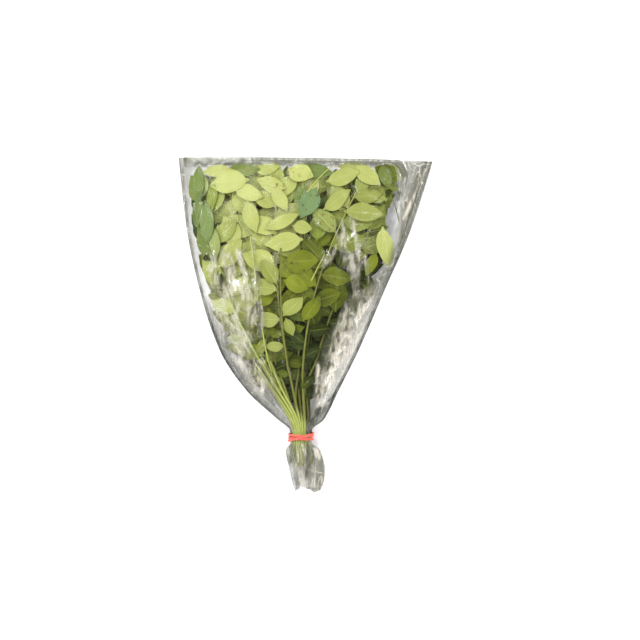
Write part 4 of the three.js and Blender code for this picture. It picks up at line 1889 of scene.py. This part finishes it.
@dataclass(frozen=True)
class Smear:
    """A cloudy or a dark place on the film, partly a painted highlight or painted shade: its ends, its half
    width, its strength and how torn it is.

    `broad` and `fine` are the size of the tears in its outline, across it and along it.
    """

    start: Span
    end: Span
    width: float
    strength: float
    torn: float = 0.6
    broad: Span = (4.2, 19)
    fine: Span = (9, 11)
    fine_share: float = 0.5
    fades: Span = (1.5, -0.2)

    def share(self, x: Array, y: Array) -> Array:
        """How much of it there is at each place, from 0 to its strength.

        Args:
            x: Places across.
            y: Places along.

        Returns:
            The share at each place.
        """
        across, along = self.end[0] - self.start[0], self.end[1] - self.start[1]
        length = math.hypot(across, along)
        x, y = x - self.start[0], y - self.start[1]
        run = x * across + y * along
        at = np.clip(run / length**2, 0, 1)
        far = np.hypot(x - at * across, y - at * along)
        down, over = run / length, (x * along - y * across) / length
        ragged = drift(over / self.broad[0], down / self.broad[1], Pattern.SMEAR_BROAD)
        ragged += self.fine_share * drift(over / self.fine[0], down / self.fine[1], Pattern.SMEAR_FINE)
        return self.strength * smoothstep(far / self.width + self.torn * ragged, *self.fades)


def strongest(places: tuple[Smear, ...], x: Array, y: Array) -> Array:
    """The greatest share that any of the places has at each point."""
    return np.maximum.reduce([place.share(x, y) for place in places])


# The cloudy places on the film, partly cloudiness and partly painted highlights where it catches the light.
CLOUDS_AND_HIGHLIGHTS = table(
    Smear,
    ((-90, 66), (-82, 36), 9, 0.62, 1.0),
    ((-74, 66), (-62, 26), 11, 0.66, 1.1),
    ((-59, 46), (-54, 6), 8, 0.62, 1.1),
    ((-84, 34), (-74, -2), 8, 0.52, 1.0),
    ((-68, 20), (-60, -10), 8, 0.55, 1.1),
    ((-93, 40), (-84, -6), 4, 0.55, 0.9),
    ((38, 98), (46, 62), 9, 0.7, 1.5),
    ((30, 76), (24, 60), 6, 0.6, 1.0),
    ((52, 60), (56, 36), 8, 0.6, 1.4),
    ((-52, 86), (-40, -24), 2.2, 0.5, 1.1),
    ((13, -40), (11, -80), 3.2, 1.0, 0.25),
    ((120, 154), (98, 106), 1.9, 1.0, 0.5),
    ((104, 120), (88, 80), 1.6, 0.5, 0.7),
    ((66, 28), (38, -50), 11, 0.9, 0.8),
    ((50, 32), (44, 2), 7, 0.75, 0.9),
    ((46, 20), (26, -50), 9, 0.8, 1.1),
    ((40, 4), (24, -60), 8, 0.85, 0.8),
    ((26, -20), (16, -66), 4, 0.8, 0.8),
    ((-3, -121), (-3, -160), 4.2, 0.8, 0.5),
    ((10, -138), (10, -162), 6, 0.6, 0.6),
    ((-68, -22), (-44, -62), 9, 0.8, 0.8),
    ((-112, 60), (-98, 6), 2.2, 0.5, 0.6),
)

# The dark places on the film, where it is folded on itself or a crease is in shade: painted shade.
SHADES = table(
    Smear,
    ((4, -106), (13, -86), 4.5, 1.0, 0.3),
    ((15, -90), (27, -70), 2.0, 0.9, 0.3),
    ((-14, -122), (-8, -162), 2.4, 0.5, 0.4),
    ((-8, -163), (14, -165), 3.0, 0.5, 0.5),
    ((36, 75), (41, 69), 2.2, 0.9, 0.4),
    ((-87, 52), (-82, 32), 1.8, 0.7, 0.8),
    ((-47, 52), (-45, -12), 1.5, 0.7, 0.8),
)


@dataclass(frozen=True)
class FilmMarks:
    """Where the film is hazy, cloudy or dark, and how much each cause adds. Its cloudy places partly paint
    highlights, and its dark places partly paint shade.

    Between `filled_left` and `filled_right` at `filled_y` it clings to the leaves, and beyond them it is
    empty. A span of two places along y is where something sets in or ends.
    """

    sleeve: SleeveForm
    kinks: Span = (0.1, 0.5)
    filled_y: tuple[float, ...] = (-120, -60, -25, 0, 30, 60, 100, 150)
    filled_left: tuple[float, ...] = (-16, -30, -49, -80, -103, -109, -117, -121)
    filled_right: tuple[float, ...] = (7, 10, 17, 29, 54, 84, 95, 95)
    filled_soft: float = 6.0
    filled_until: Span = (158, 163)
    weld: float = 2.2
    weld_width: float = 0.9
    weld_share: float = 0.7
    weld_from: Span = (-100, -80)
    seam_width: float = 1.7
    seam_from: Span = (-116, -104)
    seam_fades: Span = (-20, 130)
    seam_left: float = 0.45
    # A wide band down the lower left side, painted darker as shade.
    shaded_width: float = 10.0
    shaded_from: Span = (-112, -96)
    shaded_until: Span = (30, -25)
    hem: float = 2.2
    tail: Span = (-114, -122)
    tail_broad: Span = (3.4, 16)
    tail_fine: Span = (2, 7)
    tail_fine_share: float = 0.4
    tail_torn: Span = (-0.1, 0.7)
    tail_bloom: float = 0.75
    kink_bloom: float = 0.3
    fold_x: float = 2.5
    fold_y: float = -118.0
    fold_lean: float = 0.06
    fold_width: float = 1.1
    fold_from: Span = (-158, -146)
    # Empty film is made greyer, more so towards the mouth: partly haze, partly painted shade.
    grey: Span = (0.17, 0.5)
    grey_over: Span = (-10, 110)
    clear_haze: float = 0.018
    kink_haze: float = 0.08
    kink_filled: float = 0.1
    seam_haze: float = 0.42
    shaded_haze: float = 0.2
    hem_haze: float = 0.1
    tail_haze: float = 0.2
    shade_haze: float = 0.7
    # How much the seam colour darkens the left band, the tail's kinks and the dark places: painted shade.
    shaded_dark: float = 0.35
    kink_dark: float = 0.25
    shade_dark: float = 0.8
    loose_filled: float = 0.15
    loose_bloom: float = 0.6
    loose_from_side: Span = (0.5, 3)
    loose_until: Span = (159, 164)

    def kinked(self, crease: Array, shape: tuple[int, int]) -> Array:
        """How sharply a sheet is bent at each point.

        Args:
            crease: How far the creases move each point.
            shape: The grid's rows and columns of points.

        Returns:
            A share from 0 to 1 for each point.
        """
        relief = crease.reshape(shape)
        bend = np.zeros(shape)
        beside = (relief[:-2, 1:-1], relief[2:, 1:-1], relief[1:-1, :-2], relief[1:-1, 2:])
        bend[1:-1, 1:-1] = np.abs(sum(beside) - len(beside) * relief[1:-1, 1:-1])
        return smoothstep(bend.ravel(), *self.kinks)

    def clouds_and_highlights(self, x: Array, y: Array, tail: Array) -> Array:
        """How cloudy the upper sheet is, by its smears, which also paint highlights, and the bloom on its
        tail.

        Args:
            x: Places across.
            y: Places along.
            tail: How far each place is into the tail, from 0 to 1.

        Returns:
            How cloudy each place is.
        """
        torn = drift(x / self.tail_broad[0], y / self.tail_broad[1], Pattern.TAIL_BROAD)
        torn += self.tail_fine_share * drift(x / self.tail_fine[0], y / self.tail_fine[1], Pattern.TAIL_FINE)
        on_tail = self.tail_bloom * (tail * smoothstep(torn, *self.tail_torn))
        return np.maximum(strongest(CLOUDS_AND_HIGHLIGHTS, x, y), on_tail)

    def read(self, sheet: Sheet, points: Array, crease: Array, shape: tuple[int, int]) -> dict[str, Array]:
        """How hazy, cloudy, dark-edged and loose each point of a sheet is.

        Args:
            sheet: Which sheet.
            points: The sheet's points, in millimetres.
            crease: How far the creases move each point.
            shape: The grid's rows and columns of points.

        Returns:
            The numbers for the film's finish, by name.
        """
        x, y = points[:, 0], points[:, 1]
        kink = self.kinked(crease, shape)
        ring = self.sleeve.ring(y)
        from_side = (1 - np.abs(x - ring.middle) / ring.half) * ring.half
        left, right = (np.interp(y, self.filled_y, edge) for edge in (self.filled_left, self.filled_right))
        filled = smoothstep(np.minimum(x - left, right - x), -self.filled_soft, self.filled_soft)
        empty = 1 - filled * (1 - smoothstep(y, *self.filled_until))
        weld = bell(from_side - self.weld, self.weld_width) * smoothstep(y, *self.weld_from)
        seam = bell(from_side, self.seam_width) * smoothstep(y, *self.seam_from)
        seam = np.maximum(seam, self.weld_share * weld)
        edge = seam * lerp(1.0, self.seam_left, smoothstep(y, *self.seam_fades))
        # Painted shade: a wide dark band down the lower left side.
        lean = smoothstep(y, *self.shaded_until) * smoothstep(y, *self.shaded_from)
        shaded = bell(from_side, self.shaded_width) * lean * (x < ring.middle)
        hem = smoothstep(y, self.sleeve.mouth_y - self.hem, self.sleeve.mouth_y)
        tail = smoothstep(y, *self.tail)
        bloom, shade = np.zeros_like(x), np.zeros_like(x)
        if sheet is Sheet.UPPER:
            # Cloudiness and painted highlights from the smears and the tail.
            bloom = self.clouds_and_highlights(x, y, tail)
            # Painted shade from the dark places.
            shade = strongest(SHADES, x, y)
        bloom = np.maximum(bloom, self.kink_bloom * kink * empty)
        # Painted shade: a dark line down the tail's fold.
        fold = tail * bell(x - self.fold_x - self.fold_lean * (y - self.fold_y), self.fold_width)
        shade = np.maximum(shade, fold * smoothstep(y, *self.fold_from))
        grey = lerp(*self.grey, smoothstep(y, *self.grey_over))
        haze = self.clear_haze + grey * empty + self.kink_haze * kink * lerp(self.kink_filled, 1, empty)
        haze = haze + self.seam_haze * edge + self.shaded_haze * shaded + self.hem_haze * hem
        haze = haze + self.tail_haze * tail + self.shade_haze * shade
        loose = np.clip(lerp(self.loose_filled, 1, empty) + self.loose_bloom * bloom, 0, 1)
        loose = loose * smoothstep(from_side, *self.loose_from_side) * (1 - smoothstep(y, *self.loose_until))
        # The edge attribute darkens the seams, and paints shade on the left band, the tail's kinks, the
        # tail's fold and the dark places.
        dark = edge + self.shaded_dark * shaded + self.kink_dark * tail * kink + self.shade_dark * shade
        bloom, dark = np.clip(bloom - shade, 0, 1), np.clip(dark, 0, 1)
        return {"haze": haze, "bloom": bloom, "edge": dark, "loose": loose}


@dataclass
class FilmMaker:
    """The sleeve's film: two thin sheets welded along their sides, creased, and ragged below the tie.

    `crumples` gives the size, the bearing and the depth of each run of creases, and `pleats` the number
    and the depth of the tail's. A bend or a fine bend is how far a run strays and over what length, and a
    span of two places along y is where something sets in.
    """

    sleeve: SleeveForm
    groups: Groups
    canopy: Canopy
    marks: FilmMarks
    cling: float = 0.75
    sag: float = 4.5
    lie: float = 0.55
    drape_from: Span = (-96, -70)
    held: Span = (0.3, 0.9)
    upper_grid: tuple[int, int] = (226, 198)
    lower_grid: tuple[int, int] = (130, 140)
    thickness: float = 0.2
    rounded: float = 60.0
    fin_at_mouth: float = 5.0
    fin_at_neck: float = 1.2
    fin_over: Span = (-90, 120)
    opens: Span = (-104, -80)
    creased_from: Span = (-104, -88)
    side_share: float = 0.06
    lower_crease: float = 0.35
    neck_x: float = -4.5
    neck_y: float = -112.0
    slack: Span = (0.45, 1)
    slack_over: Span = (-0.5, 0.5)
    slack_size: float = 55.0
    slack_shift: float = 3.0
    bend: Span = (0.7, 40)
    crumple_bend: Span = (0.3, 18)
    crumples: tuple[Triple, ...] = (
        (34, 0.4, 1.1),
        (27, 1.9, 0.9),
        (19, 2.7, 0.65),
        (14, 1.1, 0.5),
        (10, 0.1, 0.32),
        (7.5, 2.2, 0.22),
    )
    pull_count: float = 16.0
    pull_bend: Span = (0.5, 35)
    pull_fine_count: float = 2.3
    pull_fine_bend: Span = (0.4, 25)
    pull_fine: float = 0.6
    pull_depth: float = 1.1
    pull_from: Span = (6, 30)
    taut_at: float = 25.0
    taut_reach: float = 95.0
    taut_flat: float = 0.6
    tail_from: Span = (-117, -140)
    pleats: tuple[Span, ...] = ((9, 1.6), (17, 0.9))
    pleat_bend: Span = (0.4, 16)
    pleat_aside: float = 0.7
    fray: float = 1.6
    fray_count: float = 4.0
    fray_length: float = 9.0

    def crumple(self, x: Array, y: Array) -> Array:
        """How far the film's creases stand off its form.

        Args:
            x: Places across.
            y: Places along.

        Returns:
            The distance at each place, in millimetres.
        """
        slack = drift(x / self.slack_size + self.slack_shift, y / self.slack_size, Pattern.CREASE_DENSITY)
        slack = lerp(*self.slack, smoothstep(slack, *self.slack_over))
        bend = sway(x, y, self.bend, Pattern.CREASE_BEND)
        total = np.zeros_like(x)
        for k, (size, turn, depth) in enumerate(self.crumples):
            run = (x * math.cos(turn) + y * math.sin(turn)) / size + bend
            run += sway(x, y, self.crumple_bend, Pattern.CRUMPLE_BEND + k)
            total += depth * facets(run, Pattern.CRUMPLE + k)
        away = np.hypot(x - self.neck_x, y - self.neck_y)
        spoke = np.arctan2(x - self.neck_x, y - self.neck_y) * self.pull_count
        pull = facets(spoke + sway(x, y, self.pull_bend, Pattern.PULL_BEND), Pattern.PULL)
        spoke = spoke * self.pull_fine_count + sway(x, y, self.pull_fine_bend, Pattern.PULL_FINE_BEND)
        pull += self.pull_fine * facets(spoke, Pattern.PULL_FINE)
        taut = bell(away - self.taut_at, self.taut_reach)
        pull = self.pull_depth * pull * taut * smoothstep(away, *self.pull_from)
        return total * slack * (1 - self.taut_flat * taut) + pull

    def pleated(self, angle: Array, y: Array) -> Array:
        """How far the tail's pleats stand out at a bearing round it.

        Args:
            angle: Bearings round the sleeve.
            y: Places along.

        Returns:
            The distance at each place, in millimetres.
        """
        total = 0
        for count, depth in self.pleats:
            run = count * angle / math.pi + self.pleat_bend[0] * drift(y / self.pleat_bend[1], angle, count)
            total = total + depth * facets(run, Pattern.PLEAT + count)
        return total

    def sheet_points(self, sheet: Sheet, across: Array, along: Array) -> tuple[Array, Array]:
        """The places of a sheet's points.

        Args:
            sheet: Which sheet.
            across: From 0 at the left side to 1 at the right.
            along: From 0 at the tail to 1 at the mouth.

        Returns:
            The points in millimetres, and how far the creases move each one.
        """
        form = self.sleeve
        y = lerp(form.tail_y, form.mouth_y, along)
        ring = form.ring(y)
        angle = math.pi * (1 - across) * sheet.value
        side, up = np.cos(angle), np.abs(np.sin(angle))
        opened = smoothstep(y, *self.opens)
        fin = lerp(self.fin_at_neck, self.fin_at_mouth, smoothstep(y, *self.fin_over)) * opened
        inner = np.minimum(np.abs(side) / (1 - fin / ring.half), 1.0)
        hollow = lerp(up, np.sqrt(1 - inner**2), opened)
        window = smoothstep(np.minimum(across, 1 - across), 0.0, self.side_share)
        depth = ring.gather * form.gather_wave(angle)
        if sheet is Sheet.UPPER:
            rise = (ring.top - ring.fold) * hollow ** (1 + form.lens * ring.spread)
        else:
            depth = depth * (1 - ring.spread)
            rise = (ring.bed - ring.fold) * np.minimum(1, hollow * (1 + form.lie_flat * ring.spread))
        x = ring.middle + (ring.half + depth) * side
        crease = self.crumple(x, y) * window * smoothstep(y, *self.creased_from)
        if sheet is Sheet.LOWER:
            crease = crease * self.lower_crease
        pleat = self.pleated(angle, y) * (smoothstep(y, *self.tail_from) * window)
        z = ring.fold + rise + depth * up * sheet.value + crease + pleat * up * sheet.value
        x = x + pleat * side * self.pleat_aside
        if sheet is Sheet.UPPER:
            z = self.drape(x, y, z, window)
        fray = self.fray * drift(angle * self.fray_count, np.zeros_like(y), Pattern.FRAY)
        fray = fray * (1 - smoothstep(y, form.tail_y, form.tail_y + self.fray_length)) * window
        y = y + form.slant(x, y) + form.rag(angle, y) + np.abs(fray)
        return np.stack([x, y, np.maximum(z, 0.0)], axis=1), crease + pleat

    def drape(self, x: Array, y: Array, z: Array, window: Array) -> Array:
        """Lets the upper sheet sink between the leaflets and rise over them.

        Args:
            x: Places across.
            y: Places along.
            z: The sheet's height at each place when nothing bears on it.
            window: How free it is of its welds, from 0 to 1.

        Returns:
            Its height at each place.
        """
        canopy = self.canopy
        reach = window * smoothstep(y, *self.drape_from)
        sunk = np.clip(canopy.sample(canopy.level, x, y) + self.lie - z, -self.sag, 0)
        held = smoothstep(canopy.sample(canopy.cover, x, y), *self.held)
        lifted = lerp(z, canopy.sample(canopy.peaks, x, y) + self.lie, reach * held)
        return np.maximum(z + self.cling * sunk * held * reach, lifted)

    def build_sheet(self, sheet: Sheet, grid: tuple[int, int], material: Material) -> None:
        """Models one sheet of the sleeve.

        Args:
            sheet: Which sheet.
            grid: How many faces it has across and along.
            material: The film's finish.
        """
        item = new_grid(*grid)
        flat = points_of(item)
        across, along = (flat[:, 0] + 1) / 2, (flat[:, 1] + 1) / 2
        points, crease = self.sheet_points(sheet, across, along)
        move_points(item, points * MM)
        for key, values in self.marks.read(sheet, points, crease, (grid[1] + 1, grid[0] + 1)).items():
            write_attribute(item, key, values)
        item.data.materials.append(material)
        if sheet is Sheet.LOWER:
            flip(item)
        thicken(item, self.thickness * MM, -1.0)
        smooth(item, self.rounded)
        settle(name_mesh(item, f"film_{sheet.name.lower()}"), "film", "sleeve")

    def build(self) -> None:
        """Models both sheets."""
        material = FilmFinish().build(self.groups)
        self.build_sheet(Sheet.UPPER, self.upper_grid, material)
        self.build_sheet(Sheet.LOWER, self.lower_grid, material)


# ---- The rubber band ----


@dataclass
class BandMaker:
    """The rubber band, wound round the neck and crossed over its top."""

    sleeve: SleeveForm
    groups: Groups
    neck_y: float = -112.0
    turns: int = 3
    rise: float = 3.8
    width: float = 2.3
    thickness: float = 0.9
    gap: float = 0.4
    lift: float = 1.2
    lift_pace: float = 2.6
    crossing: float = 1 / 6
    start_turn: float = 0.25
    steps: int = 360
    sides: int = 16
    tube: float = 0.25
    rounded: float = 60.0
    swell: float = 0.07
    swell_pace: float = 6.0
    square: float = 0.6

    def middle(self, t: Array) -> tuple[Array, Array]:
        """The line that the strand is wound on.

        Args:
            t: Shares of the strand's length.

        Returns:
            The strand's middle at each share, and the way out from the neck there.
        """
        wound = np.clip(t / (1 - self.crossing), 0, 1)
        crossed = np.clip(1 - (1 - t) / self.crossing, 0, 1)
        along = np.where(crossed > 0, 1 - 2 * smoothstep(crossed, 0, 1), 2 * wound - 1)
        lift = self.lift * np.minimum(1, self.lift_pace * np.sin(np.pi * crossed))
        angle = 2 * np.pi * (self.turns * (t - 1 + self.crossing / 2) + self.start_turn)
        out = np.stack([np.cos(angle), np.zeros_like(angle), np.sin(angle)], axis=1)
        y = self.neck_y + self.rise * along
        ring = self.sleeve.ring(y)
        stand = ring.gather + self.gap + self.thickness / 2 + lift
        x = ring.middle + (ring.half + stand) * out[:, 0]
        z = (ring.bed + ring.top) / 2 + ((ring.top - ring.bed) / 2 + stand) * out[:, 2]
        return np.stack([x, y, z], axis=1), out

    def build(self) -> None:
        """Models the wound strand."""
        material = RubberFinish().build(self.groups)
        deselect_all()
        bpy.ops.mesh.primitive_torus_add(
            major_segments=self.steps,
            minor_segments=self.sides,
            major_radius=1.0,
            minor_radius=self.tube,
            location=(0, 0, 0),
        )
        strand = bpy.context.active_object
        points = points_of(strand)
        around = np.arctan2(points[:, 1], points[:, 0])
        section = np.arctan2(points[:, 2], np.hypot(points[:, 0], points[:, 1]) - 1)
        t = np.round((around / (2 * np.pi)) * self.steps) / self.steps % 1.0
        middle, out = self.middle(t)
        ahead = self.middle((t + 1 / self.steps) % 1.0)[0] - self.middle((t - 1 / self.steps) % 1.0)[0]
        wide = np.cross(ahead, out)
        wide /= np.linalg.norm(wide, axis=1, keepdims=True)
        swell = drift(np.cos(around) * self.swell_pace, np.sin(around) * self.swell_pace, Pattern.BAND_SWELL)
        swell = 1 + self.swell * swell
        flat, thick = np.cos(section), np.sin(section)
        flat = np.sign(flat) * np.abs(flat) ** self.square * self.width / 2 * swell
        thick = np.sign(thick) * np.abs(thick) ** self.square * self.thickness / 2 / swell
        move_points(strand, (middle + wide * flat[:, None] + out * thick[:, None]) * MM)
        strand.data.materials.append(material)
        clean(strand)
        smooth(strand, self.rounded)
        settle(name_mesh(strand, "rubber_band_wound"), "rubber", "rubber_band")


# ---- The studio ----


@dataclass(frozen=True)
class Lamp:
    """A soft light: its place and size in metres and its power."""

    name: str
    place: Triple
    size: Span
    power: float


@dataclass
class Studio:
    """The floor, the lights and the camera."""

    groups: Groups
    view_width: float = 0.64
    camera_height: float = 1.6
    centre: Triple = (0.0145, 0.005, 0.014)
    sensor: float = 36.0
    sight: float = 50.0
    floor_size: float = 12.0
    world_strength: float = 0.42
    lamps: tuple[Lamp, ...] = (
        Lamp("key", (-0.7, 0.9, 1.5), (0.9, 0.9), 24.0),
        Lamp("fill_right", (1.1, 0.4, 1.2), (0.8, 0.8), 12.0),
        Lamp("fill_left", (-1.2, -0.3, 1.1), (0.8, 0.8), 12.0),
        Lamp("fill_foot", (0.3, -1.2, 1.1), (0.9, 0.6), 11.0),
        Lamp("glint_left", (-0.75, 0.25, 1.1), (0.06, 0.3), 4.0),
        Lamp("glint_right", (0.6, 0.4, 1.2), (0.06, 0.3), 3.5),
    )

    def build(self) -> None:
        """Sets the stage."""
        self.build_floor()
        self.build_world()
        for lamp in self.lamps:
            self.build_lamp(lamp)
        self.build_camera()

    def build_floor(self) -> None:
        """Lays the floor."""
        deselect_all()
        bpy.ops.mesh.primitive_plane_add(size=self.floor_size, location=(0, 0, 0))
        floor = name_mesh(bpy.context.active_object, "floor")
        floor.data.materials.append(FloorFinish().build(self.groups))

    def build_world(self) -> None:
        """Gives the soft light from all round."""
        world = bpy.data.worlds.new("studio")
        world.use_nodes = True
        background = world.node_tree.nodes["Background"]
        background.inputs["Color"].default_value = (1.0, 1.0, 1.0, 1.0)
        background.inputs["Strength"].default_value = self.world_strength
        bpy.context.scene.world = world

    def build_lamp(self, lamp: Lamp) -> None:
        """Adds a lamp that faces the bunch.

        Args:
            lamp: The lamp.
        """
        deselect_all()
        bpy.ops.object.light_add(type="AREA", location=lamp.place)
        light = bpy.context.active_object
        light.name = lamp.name
        light.data.shape = "RECTANGLE"
        light.data.size, light.data.size_y = lamp.size
        light.data.energy = lamp.power
        light.rotation_euler = (Vector((0, 0, 0)) - Vector(lamp.place)).to_track_quat("-Z", "Y").to_euler()

    def build_camera(self) -> None:
        """Looks straight down at the bunch, its mouth at the top of the view."""
        deselect_all()
        x, y, z = self.centre
        bpy.ops.object.camera_add(location=(x, y, z + self.camera_height), rotation=(0, 0, 0))
        camera = bpy.context.active_object
        camera.data.sensor_width = self.sensor
        camera.data.lens = self.sensor * self.camera_height / self.view_width
        camera.data.dof.use_dof = False
        camera.data.clip_end = self.sight
        scene = bpy.context.scene
        scene.camera = camera
        scene.view_settings.view_transform = "Standard"


def main() -> None:
    """Builds the bunch and its studio."""
    logging.basicConfig(level=logging.INFO, format="%(name)s %(message)s")
    groups = Groups()
    sleeve = SleeveForm()
    form = FrondForm(sleeve)
    sprigs = SprigMaker(LeafMaker(form, groups), StalkMaker(form, groups))
    sprigs.build()
    BandMaker(sleeve, groups).build()
    canopy = Canopy()
    canopy.survey(sprigs.made)
    FilmMaker(sleeve, groups, canopy, FilmMarks(sleeve)).build()
    Studio(groups).build()
    deselect_all()


if __name__ == "__main__":
    main()
